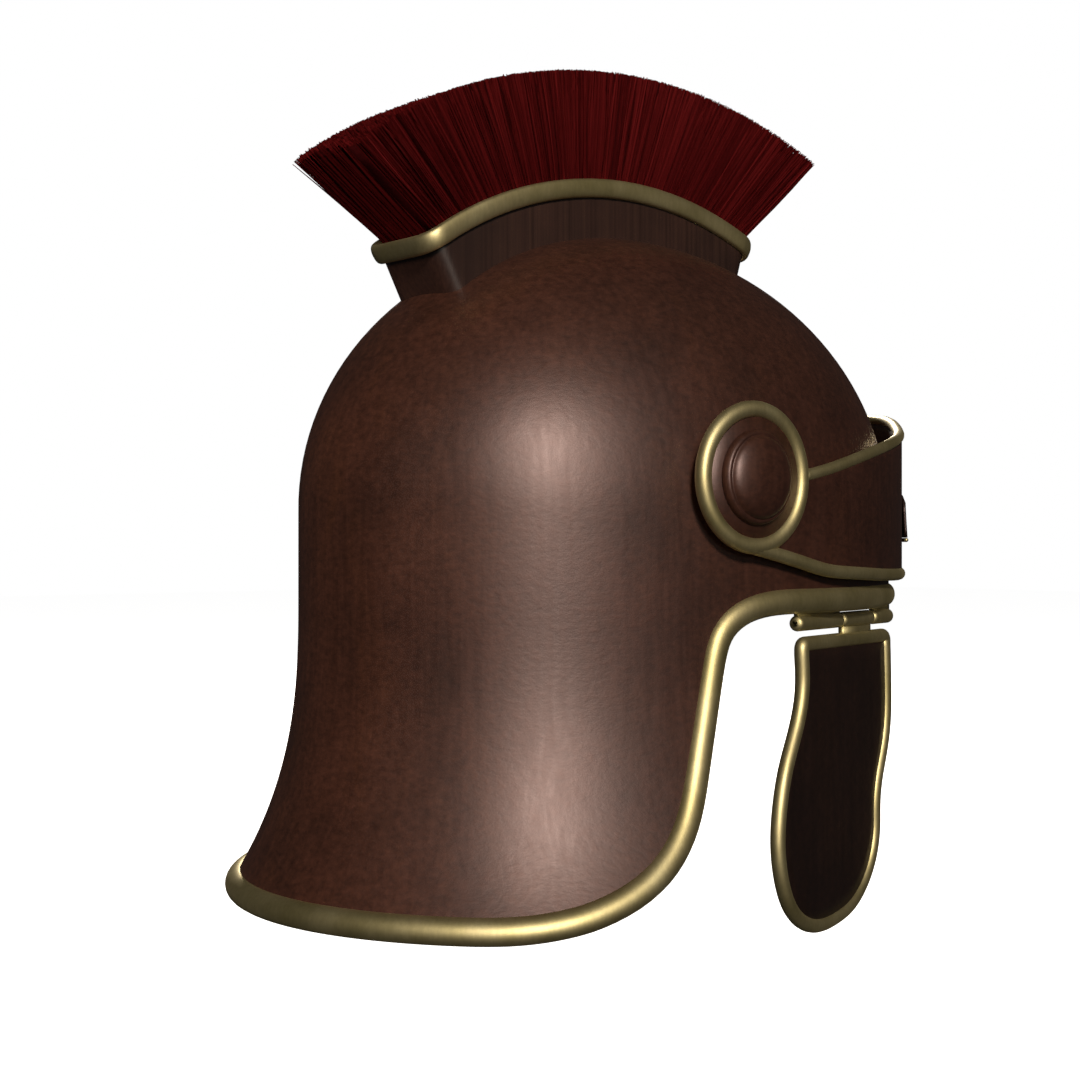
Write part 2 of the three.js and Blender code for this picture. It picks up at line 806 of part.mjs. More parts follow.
const bead = sweep(edgeLoop(), outwardOf, ellipse(BINDING_WIDTH, BINDING_THICKNESS, 8), true);
const binding = KNUCKLES.filter((k) => !k.onCheek)
  .map((k) => inHinge(knuckle(k)))
  .flatMap((k) => [k, mirrored(k)])
  .reduce((sum, k) => sum.add(k), bead)
  .subtract(shellSolid(GAP));
place("edge_binding", binding, BRASS);

place("crest_box", crestBox(), WOOD);
place("crest_rim", crestRim(), BRASS);
place("crest_brush", crestBrush(), BRISTLE);

place("brow_guard", browGuard(), LEATHER);
place("brow_trim", browTrim(), BRASS);
place("brow_plaque", browPlaque(), LEATHER);
place("plaque_wire", plaqueWire(), BRASS);

const pinFrom = KNUCKLES[0].from + 0.6;
const pinTo = KNUCKLES[KNUCKLES.length - 1].to - 0.6;
const sided = {
  temple_disc: [templeDisc(), LEATHER],
  temple_boss: [templeBoss(), LEATHER],
  hinge_pin: [inHinge(hingeRod(PIN_RADIUS, pinFrom, pinTo, 10)), STEEL],
  cheek_plate: [inHinge(cheekPlate()), LEATHER],
  cheek_binding: [inHinge(cheekBinding()), BRASS],
};
for (const [name, [body, material]] of Object.entries(sided)) {
  place(name + "_right", body, material);
  place(name + "_left", mirrored(body), material);
}

export default helmet;
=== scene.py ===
# %% [markdown]
# # A crested legionary helmet
# The real object is a hardened leather bell with a flared neck, bound in brass strip. On top sits a
# wooden crest box that holds a brush of dyed bristle, round the forehead stands a leather guard
# between brass tubes, and two cheek guards hang on hinges. The model's frame comes in first: it
# fixes where every piece goes, so that each cell below only has to make its piece look real.

# %% Load the frame
import math
import random

import bmesh
import bpy
import numpy as np
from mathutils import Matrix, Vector


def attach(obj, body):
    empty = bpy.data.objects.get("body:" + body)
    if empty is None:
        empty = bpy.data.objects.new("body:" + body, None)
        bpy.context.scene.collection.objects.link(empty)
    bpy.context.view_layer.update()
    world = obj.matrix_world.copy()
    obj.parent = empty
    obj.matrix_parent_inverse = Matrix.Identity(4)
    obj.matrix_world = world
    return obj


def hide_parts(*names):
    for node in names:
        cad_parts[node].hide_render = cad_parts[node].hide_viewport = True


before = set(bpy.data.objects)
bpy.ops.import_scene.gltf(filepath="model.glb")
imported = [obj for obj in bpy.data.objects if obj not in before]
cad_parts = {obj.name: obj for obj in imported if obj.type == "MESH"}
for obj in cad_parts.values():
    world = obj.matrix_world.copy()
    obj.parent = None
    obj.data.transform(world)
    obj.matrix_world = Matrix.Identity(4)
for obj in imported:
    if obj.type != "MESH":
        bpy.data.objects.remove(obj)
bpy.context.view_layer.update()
print("pieces in the frame:", sorted(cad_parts))

# %% [markdown]
# ## Measures
# All of the real pieces are worked out in millimetres, as a maker would, and turned to metres where
# a mesh is made. The bell is an ellipse at each level. It narrows to the crown like an ellipsoid,
# runs straight down the sides and flares at the neck.

# %% Measures of the bell
MM = 0.001
HALF_LENGTH = 133.4
HALF_WIDTH = 100.1
DOME_HEIGHT = 112.2
WIDEST_Z = 33.4
DOME_LEAN = 0.022
SHELL_WALL = 3.0
RIM_Z = -107.0
RIM_FLARE = 25.0
FLARE_POWER = 2.65
BROW_Z = 0.5


def level_at(z, depth=0.0):
    """Half length, half width and middle of the bell's level section at a height."""
    flare = RIM_FLARE * (z / RIM_Z) ** FLARE_POWER if z < 0 else 0.0
    rise = max(0.0, z - WIDEST_Z) / (DOME_HEIGHT - depth)
    shrink = math.sqrt(max(0.0, 1 - rise * rise))
    length = (HALF_LENGTH - depth) * shrink + flare
    width = (HALF_WIDTH - depth) * shrink + flare
    return length, width, DOME_LEAN * max(0.0, z - WIDEST_Z)


def at_turn(turn, z, depth=0.0):
    """A point of the bell: turn 0 is the face, a quarter turn is the wearer's right."""
    length, width, middle = level_at(z, depth)
    return Vector((-width * math.sin(turn), middle - length * math.cos(turn), z))


def at_side(y, z, depth=0.0):
    """The point of the bell on the wearer's right at a place in side view."""
    length, width, middle = level_at(z, depth)
    share = (y - middle) / length
    return Vector((-width * math.sqrt(max(0.0, 1 - share * share)), y, z))


def outward_of(point):
    """The bell's outward direction at a point on it."""
    length, width, middle = level_at(point.z)
    turn = math.atan2(-point.x / width, (middle - point.y) / length)
    along_turn = at_turn(turn + 0.01, point.z) - at_turn(turn - 0.01, point.z)
    along_rise = at_turn(turn, point.z + 0.5) - at_turn(turn, point.z - 0.5)
    return along_rise.cross(along_turn).normalized()


print("bell, widest level in mm:", 2 * HALF_WIDTH, "x", 2 * HALF_LENGTH)

# %% [markdown]
# ## Helpers for meshes
# Bound edges, tubes and rims are all one idea: a section carried along a line. Blender's curve
# bevel could do it, but it can't hold an oval section square to a curved wall, so the rings are
# worked out here and skinned. Smooth lines come from a natural cubic spline through a few measured
# points, because a spline with an even bend gives brass its unbroken highlight.


# %% Meshes from points
def mesh_object(name, points, faces, smooth=True):
    """An object from points in millimetres and faces."""
    mesh = bpy.data.meshes.new(name)
    mesh.from_pydata([Vector(p) * MM for p in points], [], faces)
    built = bmesh.new()
    built.from_mesh(mesh)
    bmesh.ops.recalc_face_normals(built, faces=built.faces)
    built.to_mesh(mesh)
    built.free()
    mesh.polygons.foreach_set("use_smooth", [smooth] * len(mesh.polygons))
    obj = bpy.data.objects.new(name, mesh)
    bpy.context.scene.collection.objects.link(obj)
    return obj


def skin(rings, closed):
    """Points and faces of a skin over rings of points, with caps unless it closes on itself."""
    across = len(rings[0])
    points = [p for ring in rings for p in ring]
    faces = []
    for i in range(len(rings) if closed else len(rings) - 1):
        here = i * across
        there = ((i + 1) % len(rings)) * across
        for j in range(across):
            k = (j + 1) % across
            faces.append((here + j, here + k, there + k, there + j))
    if not closed:
        faces.append(tuple(range(across)))
        faces.append(tuple(range(len(points) - across, len(points))))
    return points, faces


print("mesh helpers are ready")


# %% Smooth lines
def smooth_line(points, count, closed=False):
    """count points, evenly spread, on a natural cubic spline through the given ones."""
    given = np.array([tuple(p) for p in points], float)
    if closed:
        given = np.vstack([given[-3:], given, given[:4]])
    steps = np.linalg.norm(np.diff(given, axis=0), axis=1)
    knots = np.concatenate([[0], np.cumsum(steps)])
    n = len(given)
    matrix = np.eye(n)
    right = np.zeros_like(given)
    for i in range(1, n - 1):
        before, after = steps[i - 1], steps[i]
        matrix[i, i - 1], matrix[i, i], matrix[i, i + 1] = before, 2 * (before + after), after
        right[i] = 6 * ((given[i + 1] - given[i]) / after - (given[i] - given[i - 1]) / before)
    bend = np.linalg.solve(matrix, right)

    def at(t):
        i = int(np.clip(np.searchsorted(knots, t) - 1, 0, n - 2))
        h = steps[i]
        a, b = (knots[i + 1] - t) / h, (t - knots[i]) / h
        curve = a * given[i] + b * given[i + 1]
        return curve + ((a**3 - a) * bend[i] + (b**3 - b) * bend[i + 1]) * h * h / 6

    first, last = (knots[3], knots[-4]) if closed else (knots[0], knots[-1])
    places = np.linspace(first, last, count + 1 if closed else count)
    return np.array([at(t) for t in (places[:-1] if closed else places)])


bent = smooth_line([(0, 0), (10, 6), (20, 0)], 5)
print("a line through three points, in five:", bent.round(1).tolist())


# %% Sections and sweeps
def sweep(path, outward_at, section, closed):
    """Rings of a section carried along a path. outward_at says where its thickness points."""
    count = len(path)
    rings = []
    for i, point in enumerate(path):
        before = path[(i - 1) % count if closed else max(i - 1, 0)]
        after = path[(i + 1) % count if closed else min(i + 1, count - 1)]
        along = (Vector(after) - Vector(before)).normalized()
        outward = Vector(outward_at(point, i))
        outward = (outward - along * outward.dot(along)).normalized()
        sideways = along.cross(outward)
        rings.append([Vector(point) + sideways * s + outward * o for s, o in section])
    return rings


def oval(width, thickness, sides=20):
    """The points of an oval section."""
    turns = [(i + 0.5) / sides * 2 * math.pi for i in range(sides)]
    return [(math.cos(t) * width / 2, math.sin(t) * thickness / 2) for t in turns]


def mirror_points(points):
    """The same points on the other side of the helmet."""
    return [Vector((-p[0], p[1], p[2])) for p in points]


def both_sides(part):
    """A part and its mirror image."""
    points, faces = part
    return [part, (mirror_points(points), faces)]


print("points round a brass tube:", len(oval(9, 8)))


# %% Joining and finishing
def joined(name, parts):
    """One object from several (points, faces) parts."""
    points, faces = [], []
    for part_points, part_faces in parts:
        start = len(points)
        points.extend(part_points)
        faces.extend(tuple(i + start for i in face) for face in part_faces)
    return mesh_object(name, points, faces)


def finish_piece(obj, body, slot, material, *nodes):
    """Gives a piece its body, its material and the nodes it stands for. The slot is not used."""
    obj.data.materials.clear()
    obj.data.materials.append(material)
    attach(obj, body)
    if nodes:
        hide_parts(*nodes)
    print(obj.name, len(obj.data.polygons), "faces on", body)
    return obj


print("each piece prints its name, its faces and its body")


# %% [markdown]
# ## Helpers for materials
# A material here is a small graph: a principled shader, one or two noises that vary its colour and
# its roughness, and a bump for the relief that is too fine to model. One function adds a node with
# its settings and its links, and another turns a plain hex colour into the linear values that
# Blender calculates with.


# %% Colours and nodes
def linear(hex_colour):
    """A linear colour from an sRGB hex value."""
    channels = [int(hex_colour[i : i + 2], 16) / 255 for i in (1, 3, 5)]
    curve = [c / 12.92 if c <= 0.04045 else ((c + 0.055) / 1.055) ** 2.4 for c in channels]
    return (*curve, 1.0)


def add_node(tree, kind, settings=None, **inputs):
    """Adds a node. Settings are its own values, and inputs are sockets, by value or by link."""
    node = tree.nodes.new(kind)
    for key, value in (settings or {}).items():
        setattr(node, key, value)
    for key, value in inputs.items():
        found = [s for s in node.inputs if s.name.replace(" ", "_") == key and s.enabled]
        socket = found[0] if found else node.inputs[int(key.strip("_"))]
        if isinstance(value, bpy.types.NodeSocket):
            tree.links.new(value, socket)
        else:
            socket.default_value = value
    return node


def ramp(tree, factor, stops):
    """A colour ramp with (place, hex colour) stops."""
    node = add_node(tree, "ShaderNodeValToRGB", Fac=factor)
    elements = node.color_ramp.elements
    while len(elements) < len(stops):
        elements.new(0.5)
    for element, (place, colour) in zip(elements, stops):
        element.position = place
        element.color = linear(colour)
    return node.outputs["Color"]


print("brass yellow in linear values:", [round(c, 3) for c in linear("#bdb185")[:3]])


# %% Materials and their patterns
def new_material(name):
    """An empty material with its shader, and the place on the piece in metres."""
    material = bpy.data.materials.new(name)
    material.use_nodes = True
    tree = material.node_tree
    shader = tree.nodes["Principled BSDF"]
    place = add_node(tree, "ShaderNodeTexCoord").outputs["Object"]
    return material, tree, shader, place


def stretched(tree, place, size_mm):
    """The place divided by a pattern's size in millimetres along X, Y and Z."""
    scale = tuple(1000 / s for s in size_mm)
    node = add_node(tree, "ShaderNodeMapping", {"vector_type": "POINT"}, Vector=place, Scale=scale)
    return node.outputs["Vector"]


def noise(tree, place, size_mm, detail=4.0, rough=0.55, distort=0.0):
    """A noise whose largest cells are size_mm across."""
    vector = stretched(tree, place, size_mm)
    node = add_node(
        tree,
        "ShaderNodeTexNoise",
        Vector=vector,
        Scale=1.0,
        Detail=detail,
        Roughness=rough,
        Distortion=distort,
    )
    return node.outputs["Fac"]


def blend_colours(tree, kind, factor, first, second):
    """Two colours mixed. Sockets 6 and 7 of the node are its pair of colours."""
    settings = {"data_type": "RGBA", "blend_type": kind}
    node = add_node(tree, "ShaderNodeMix", settings, _0=factor, _6=first, _7=second)
    return node.outputs[2]


def spread(tree, value, low, high):
    """A 0 to 1 value carried to a range."""
    node = add_node(tree, "ShaderNodeMapRange", Value=value, To_Min=low, To_Max=high)
    return node.outputs["Result"]


def bump(tree, height, millimetres):
    """A bump of that height."""
    node = add_node(tree, "ShaderNodeBump", Height=height, Strength=1.0, Distance=millimetres * MM)
    return node.outputs["Normal"]


print("material helpers are ready")

# %% [markdown]
# ## Moulded leather
# The bell is vegetable-tanned hide, soaked, pressed on a form, dyed and waxed. The wax fills the
# grain, so the eye sees a satin sheen over a cloudy brown, with rust-coloured drag marks where the
# dye was wiped on and a faint pebble in the light. A displaced grain would be too fine to show, so
# the pebble is bump, and the clouds and drag marks are noise at their real sizes.


# %% Leather
def leather(name, dark, mid, light, streak, roughness):
    """Waxed hide in four tones."""
    material, tree, shader, place = new_material(name)
    clouds = noise(tree, place, (42, 42, 42), 5, 0.6)
    base = ramp(tree, clouds, [(0.3, dark), (0.5, mid), (0.72, light)])
    wiped = noise(tree, place, (26, 26, 60), 5, 0.65, 0.6)
    drag = ramp(tree, wiped, [(0.5, "#000000"), (0.72, "#ffffff")])
    amount = add_node(tree, "ShaderNodeMath", {"operation": "MULTIPLY"}, _0=drag, _1=0.3)
    colour = blend_colours(tree, "MIX", amount.outputs[0], base, linear(streak))
    # The pebble of the hide is 3 mm across and 2 mm tall.
    pores = noise(tree, place, (3.2, 3.2, 2.0), 4, 0.65)
    mottle = ramp(tree, pores, [(0.3, "#9c9c9c"), (0.7, "#ffffff")])
    colour = blend_colours(tree, "MULTIPLY", 0.75, colour, mottle)
    # The streaks of the dye brush are 3 mm wide and run down the bell for 40 mm and more.
    brushed = noise(tree, place, (3, 3, 42), 4, 0.6, 0.4)
    streaks = ramp(tree, brushed, [(0.34, "#b4b4b4"), (0.66, "#ffffff")])
    colour = blend_colours(tree, "MULTIPLY", 0.4, colour, streaks)
    tree.links.new(colour, shader.inputs["Base Color"])
    satin = spread(tree, brushed, roughness - 0.06, roughness + 0.08)
    tree.links.new(satin, shader.inputs["Roughness"])
    tree.links.new(bump(tree, pores, 0.07), shader.inputs["Normal"])
    shader.inputs["IOR"].default_value = 1.5
    shader.inputs["Specular IOR Level"].default_value = 0.64
    # The wax took up some of the red dye, so its shine is a little rosy.
    shader.inputs["Specular Tint"].default_value = linear("#ffe2de")
    return material


HIDE_TONES = ("#351e16", "#41251b", "#4a2b20", "#55311d")
DARK_HIDE_TONES = ("#1a0e0a", "#21130e", "#2b1a13", "#341f12")
shell_leather = leather("Waxed Moulded Hide", *HIDE_TONES, 0.43)
trim_leather = leather("Black-Brown Waxed Hide", *DARK_HIDE_TONES, 0.42)
print("leather:", shell_leather.name, "and", trim_leather.name)

# %% [markdown]
# ## Rolled brass
# The strip is yellow brass, rolled, soldered and hand polished. It keeps a thin olive tarnish in
# the hollows of the rolling marks, so the mirror is soft, and fine scratches run where it was
# rubbed. Its colour is set in the metal itself, and two noises move its roughness and its tint.


# %% Brass
def brass(name):
    """Polished brass with a light olive tarnish."""
    material, tree, shader, place = new_material(name)
    tarnish = noise(tree, place, (26, 26, 26), 5, 0.6)
    metal = ramp(tree, tarnish, [(0.3, "#aba06f"), (0.55, "#bdb185"), (0.8, "#c9c095")])
    rubbed = noise(tree, place, (1.4, 1.4, 5), 4, 0.7)
    fine = ramp(tree, rubbed, [(0.3, "#d6d6d6"), (0.7, "#ffffff")])
    colour = blend_colours(tree, "MULTIPLY", 0.5, metal, fine)
    tree.links.new(colour, shader.inputs["Base Color"])
    tree.links.new(spread(tree, tarnish, 0.46, 0.56), shader.inputs["Roughness"])
    tree.links.new(bump(tree, rubbed, 0.02), shader.inputs["Normal"])
    # The tarnish is an oxide and not a metal, so the mix stays a little under full metal.
    shader.inputs["Metallic"].default_value = 0.97
    return material


polished_brass = brass("Polished Rolled Brass")
print("brass:", polished_brass.name)

# %% [markdown]
# ## Stained wood, bristle and wire
# The crest box is a close-grained wood, sawn so that its grain stands upright, stained and oiled:
# the eye sees thin dark upright lines under a soft gloss. The bristles are dyed animal hair, matt
# along their length and lighter at the cut tips, each a slightly different red. The hinge pins are
# plain drawn iron wire.


# %% Wood
def stained_wood(name):
    """Dark stained wood with an upright grain."""
    material, tree, shader, place = new_material(name)
    # Grain lines are 1.3 mm apart and run up the whole wall.
    grain = noise(tree, place, (1.3, 1.3, 120), 5, 0.65)
    colour = ramp(tree, grain, [(0.3, "#2a1811"), (0.5, "#35201a"), (0.7, "#3d261c")])
    clouds = noise(tree, place, (30, 30, 30), 3)
    shade = ramp(tree, clouds, [(0.3, "#bdbdbd"), (0.7, "#ffffff")])
    colour = blend_colours(tree, "MULTIPLY", 0.8, colour, shade)
    tree.links.new(colour, shader.inputs["Base Color"])
    tree.links.new(spread(tree, grain, 0.38, 0.52), shader.inputs["Roughness"])
    tree.links.new(bump(tree, grain, 0.03), shader.inputs["Normal"])
    return material


crest_wood = stained_wood("Stained Close-Grained Wood")
print("wood:", crest_wood.name)


# %% Bristle and wire
def dyed_bristle(name, root, middle, tip):
    """Dyed hair: a tone that each mesh carries picks its red, painted light and shade included."""
    material, tree, shader, place = new_material(name)
    own = add_node(tree, "ShaderNodeAttribute", {"attribute_name": "bristle_tone"}).outputs["Fac"]
    streaks = noise(tree, place, (0.9, 0.9, 25), 3, 0.6)
    settings = {"operation": "MULTIPLY_ADD"}
    tone = add_node(tree, "ShaderNodeMath", settings, _0=streaks, _1=0.25, _2=own)
    colour = ramp(tree, tone.outputs[0], [(0.1, root), (0.5, middle), (1.0, tip)])
    tree.links.new(colour, shader.inputs["Base Color"])
    tree.links.new(spread(tree, streaks, 0.6, 0.75), shader.inputs["Roughness"])
    tree.links.new(bump(tree, streaks, 0.05), shader.inputs["Normal"])
    # Hair this fine scatters its shine, so the mass of it looks matt.
    shader.inputs["Specular IOR Level"].default_value = 0.0
    return material


def drawn_wire(name):
    """Plain iron wire."""
    material, tree, shader, place = new_material(name)
    worn = noise(tree, place, (2, 2, 2), 3)
    metal = ramp(tree, worn, [(0.3, "#57534c"), (0.7, "#8b867c")])
    tree.links.new(metal, shader.inputs["Base Color"])
    tree.links.new(spread(tree, worn, 0.3, 0.5), shader.inputs["Roughness"])
    shader.inputs["Metallic"].default_value = 1.0
    return material


bristle = dyed_bristle("Dyed Crest Bristle", "#1e0506", "#480e0f", "#631718")
pin_wire = drawn_wire("Drawn Iron Wire")
print("hair and iron:", bristle.name, "and", pin_wire.name)

# %% [markdown]
# ## The bell
# A maker presses one hide over a form and trims its edge with a knife. Here the wall is a grid:
# each column stands at one turn about the vertical and starts where the trimmed edge crosses it,
# and its rows climb to the crown. Solidify then gives the hide its 3 mm, so the inside is a real
# surface.

# %% The trimmed edge
EDGE_CURVES = [
    [(-3, BROW_Z), (14, BROW_Z), (29.2, -2), (33.2, -16)],
    [(33.2, -16), (37.2, -36), (41.2, -50), (47.2, -65.5)],
    [(47.2, -65.5), (54.2, -83), (67.2, -95.4), (91.5, -102.6)],
    [(91.5, -102.6), (101.7, -105.3), (112, RIM_Z), (124, RIM_Z)],
]


def edge_outline(per_curve):
    """Points (y, z) of the shell's edge in side view, from the brow to the neck rim."""
    points = [EDGE_CURVES[0][0]]
    for a, b, c, d in EDGE_CURVES:
        for i in range(1, per_curve + 1):
            t = i / per_curve
            weights = ((1 - t) ** 3, 3 * t * (1 - t) ** 2, 3 * t * t * (1 - t), t**3)
            points.append(
                tuple(sum(w * p[k] for w, p in zip(weights, (a, b, c, d))) for k in (0, 1))
            )
    return points


EDGE = edge_outline(24)


def edge_y(z):
    """Where the edge stands in side view at a height."""
    heights = [-p[1] for p in EDGE]
    return float(np.interp(-z, heights, [p[0] for p in EDGE]))


def column_foot(turn):
    """The height at which a column of the bell meets the trimmed edge."""
    low, high = RIM_Z, BROW_Z
    if at_turn(turn, high).y <= EDGE[0][0]:
        return high
    for _ in range(40):
        middle = (low + high) / 2
        if at_turn(turn, middle).y > edge_y(middle):
            high = middle
        else:
            low = middle
    return high


print("edge points:", len(EDGE))

# %% The bell's mesh
COLUMNS = 288
WALL_ROWS = 40
DOME_ROWS = 34


def bell_mesh():
    """The outer surface as rings from the edge to the crown."""
    turns = [i / COLUMNS * 2 * math.pi for i in range(COLUMNS)]
    feet = [column_foot(t if t <= math.pi else 2 * math.pi - t) for t in turns]
    points = []
    for row in range(WALL_ROWS):
        share = row / WALL_ROWS
        points.extend(at_turn(t, f + (WIDEST_Z - f) * share) for t, f in zip(turns, feet))
    for row in range(DOME_ROWS):
        z = WIDEST_Z + DOME_HEIGHT * math.sin(row / DOME_ROWS * math.pi / 2)
        points.extend(at_turn(t, z) for t in turns)
    points.append(at_turn(0, WIDEST_Z + DOME_HEIGHT))
    crown = len(points) - 1
    faces = []
    rows = WALL_ROWS + DOME_ROWS
    for row in range(rows - 1):
        for i in range(COLUMNS):
            k = (i + 1) % COLUMNS
            here, above = row * COLUMNS, (row + 1) * COLUMNS
            faces.append((here + i, here + k, above + k, above + i))
    last = (rows - 1) * COLUMNS
    faces.extend((last + i, last + (i + 1) % COLUMNS, crown) for i in range(COLUMNS))
    return points, faces


def apply_modifiers(obj):
    """Turns an object's modifiers into its mesh."""
    bpy.context.view_layer.update()
    evaluated = obj.evaluated_get(bpy.context.evaluated_depsgraph_get())
    mesh = bpy.data.meshes.new_from_object(evaluated)
    obj.modifiers.clear()
    obj.data = mesh
    return obj


hide_bell = mesh_object("leather_bell", *bell_mesh())
wall = hide_bell.modifiers.new("Hide thickness", "SOLIDIFY")
wall.thickness = SHELL_WALL * MM
wall.offset = -1
apply_modifiers(hide_bell)
finish_piece(hide_bell, "helmet", "shell_leather", shell_leather, "shell")

# %% [markdown]
# ## The edge binding
# A brass strip is rolled into a tube that grips the hide's edge all the way round. It is an oval
# section carried along the trimmed edge, square to the wall. The shell's hinge knuckles are
# soldered under it.

# %% Binding line
BINDING_WIDTH = 9.7
BINDING_THICKNESS = 8.5
LEVEL_STEPS = 30  # points on each level run, over the brow and round the neck


def binding_line():
    """The closed line of the shell's edge, in the middle of its wall."""
    depth = SHELL_WALL / 2
    right = [at_side(y, z, depth) for y, z in edge_outline(14)]

    def turn_of(y, z):
        length, _, middle = level_at(z, depth)
        return math.acos((middle - y) / length)

    brow_turn = turn_of(*EDGE[0])
    rim_turn = turn_of(*EDGE[-1])
    shares = [i / LEVEL_STEPS for i in range(LEVEL_STEPS + 1)]
    brow = [at_turn(brow_turn * share, BROW_Z, depth) for share in shares[:-1]]
    to_nape = math.pi - rim_turn
    rim = [at_turn(rim_turn + to_nape * share, RIM_Z, depth) for share in shares[1:]]
    half = brow + right + rim
    left = mirror_points(half[1:-1])[::-1]
    return half + left


def rounded_path(path, passes=3):
    """A closed path with its small corners eased."""
    line = [Vector(p) for p in path]
    for _ in range(passes):
        count = len(line)
        line = [
            line[i] * 0.5 + (line[i - 1] + line[(i + 1) % count]) * 0.25 for i in range(count)
        ]
    return line


bead_path = rounded_path(binding_line())
bead_section = oval(BINDING_WIDTH, BINDING_THICKNESS, 24)
bead = skin(sweep(bead_path, lambda p, _: outward_of(p), bead_section, True), True)
print("binding rings:", len(bead_path))

# %% [markdown]
# ## Hinges
# Each cheek guard hangs on three rolled knuckles with a pin through them. The two on the shell are
# soldered to the binding and the middle one to the cheek guard's own binding. A knuckle is a short
# tube with rounded ends, turned here as a profile about the hinge line.

# %% Hinge frame
HINGE = Vector((-97, -9, -8))
HINGE_TURN = math.radians(15.5)
HINGE_ALONG = Vector((math.sin(HINGE_TURN), -math.cos(HINGE_TURN), 0))
HINGE_UP = Vector((0, 0, 1))
HINGE_OUT = HINGE_ALONG.cross(HINGE_UP)
KNUCKLE_RADIUS = 3.0
KNUCKLE_BORE = 1.1
KNUCKLE_EASE = 2.0  # the radius of a knuckle's rounded ends
LEAF_WALL = 2.4
SHELL_KNUCKLES = [(-2, 36), (65, 83)]
CHEEK_KNUCKLE = (36.5, 64.5)


def in_hinge(s, up, outwards):
    """A point given along the hinge, above it and outwards from it."""
    return HINGE + HINGE_ALONG * s + HINGE_UP * up + HINGE_OUT * outwards


def knuckle(start, end):
    """A knuckle with rounded ends."""
    face = KNUCKLE_RADIUS - KNUCKLE_EASE
    profile = [(start, KNUCKLE_BORE), (start, face)]
    for i in range(1, 7):
        turn = i / 6 * math.pi / 2
        inset = KNUCKLE_EASE * (1 - math.cos(turn))
        profile.append((start + inset, face + KNUCKLE_EASE * math.sin(turn)))
    profile += [(start + end - s, r) for s, r in reversed(profile)]
    sides = 20
    turns = [k / sides * 2 * math.pi for k in range(sides)]
    rings = [[in_hinge(s, r * math.cos(t), r * math.sin(t)) for t in turns] for s, r in profile]
    return skin(rings, False)


def tab(start, end, low, high):
    """The soldered leaf between a knuckle and its binding."""
    half = LEAF_WALL / 2
    inset = 1.5
    corners = [(low, -half), (high, -half), (high, half), (low, half)]
    rings = [[in_hinge(s, u, w) for u, w in corners] for s in (start + inset, end - inset)]
    return skin(rings, False)


parts = [bead]
for start, end in SHELL_KNUCKLES:
    parts += both_sides(knuckle(start, end))
    parts += both_sides(tab(start, end, 2, 8))
edge_binding = joined("brass_edge_binding", parts)
finish_piece(edge_binding, "helmet", "brass", polished_brass, "edge_binding")

# %% [markdown]
# ## Crest box
# The box is a long wooden block with rounded ends, hollowed under to sit on the dome and curved on
# top. Its walls are a skin whose foot follows the dome and whose top follows the arc of the rim.

# %% Crest box
CREST_HALF_WIDTH = 19.0
CREST_CORNER = 8.0
CREST_FRONT = (-61, 130, -0.36)
CREST_BACK = (93, 116, 0.6)
CREST_RIM_ARC = (5, -4.2, 167)
CREST_RIM_HEIGHT = 7.4
CREST_RIM_STAND = 2.6
BRUSH_TOP_ARC = (-5, -45.7, 255)


def arc_height(arc, y):
    """The height of an arc over a place y."""
    middle, base, radius = arc
    return base + math.sqrt(radius * radius - (y - middle) ** 2)


def end_wall(end, z):
    """Where a leaning end wall stands at a height."""
    y, height, slope = end
    return y + (z - height) * slope


def rounded_level(half, front, back, corner, per_corner=8, step=3.0):
    """A level rectangle with round corners, as (x, y) points, counter-clockwise from above."""
    centres = [
        (-half + corner, back - corner, 0.5),
        (-half + corner, front + corner, 1.0),
        (half - corner, front + corner, 1.5),
        (half - corner, back - corner, 2.0),
    ]
    corners = []
    for x, y, quarter in centres:
        for i in range(per_corner + 1):
            turn = (quarter + 0.5 * i / per_corner) * math.pi
            corners.append((x + corner * math.cos(turn), y + corner * math.sin(turn)))
    points = []
    for i, (x, y) in enumerate(corners):
        nx, ny = corners[(i + 1) % len(corners)]
        pieces = max(1, round(math.hypot(nx - x, ny - y) / step))
        points += [(x + (nx - x) * k / pieces, y + (ny - y) * k / pieces) for k in range(pieces)]
    return points


def dome_height(x, y):
    """The height of the bell over a place in plan."""
    z = 130.0
    for _ in range(8):
        middle = DOME_LEAN * (z - WIDEST_Z)
        spread_out = (x / HALF_WIDTH) ** 2 + ((y - middle) / HALF_LENGTH) ** 2
        z = WIDEST_Z + DOME_HEIGHT * math.sqrt(max(0.0, 1 - spread_out))
    return z


BOX_LEVEL = 150.0
BOX_ENDS = (end_wall(CREST_FRONT, BOX_LEVEL), end_wall(CREST_BACK, BOX_LEVEL))
BOX_MIDDLE = sum(BOX_ENDS) / 2
BOX_OUTLINE = rounded_level(CREST_HALF_WIDTH, *BOX_ENDS, CREST_CORNER)
print("crest box ends at y", [round(y, 1) for y in BOX_ENDS], "mm")



def on_wall(x, y, z):
    """The outline's point carried up or down its leaning wall to a height."""
    end = CREST_FRONT if y < BOX_MIDDLE else CREST_BACK
    share = (y - BOX_MIDDLE) / (end_wall(end, BOX_LEVEL) - BOX_MIDDLE)
    return Vector((x, BOX_MIDDLE + (end_wall(end, z) - BOX_MIDDLE) * share, z))


def settle(x, y, height_at):
    """The wall's point whose height is height_at(x, y) there."""
    point = on_wall(x, y, BOX_LEVEL)
    for _ in range(10):
        point = on_wall(x, y, height_at(point.x, point.y))
    return point


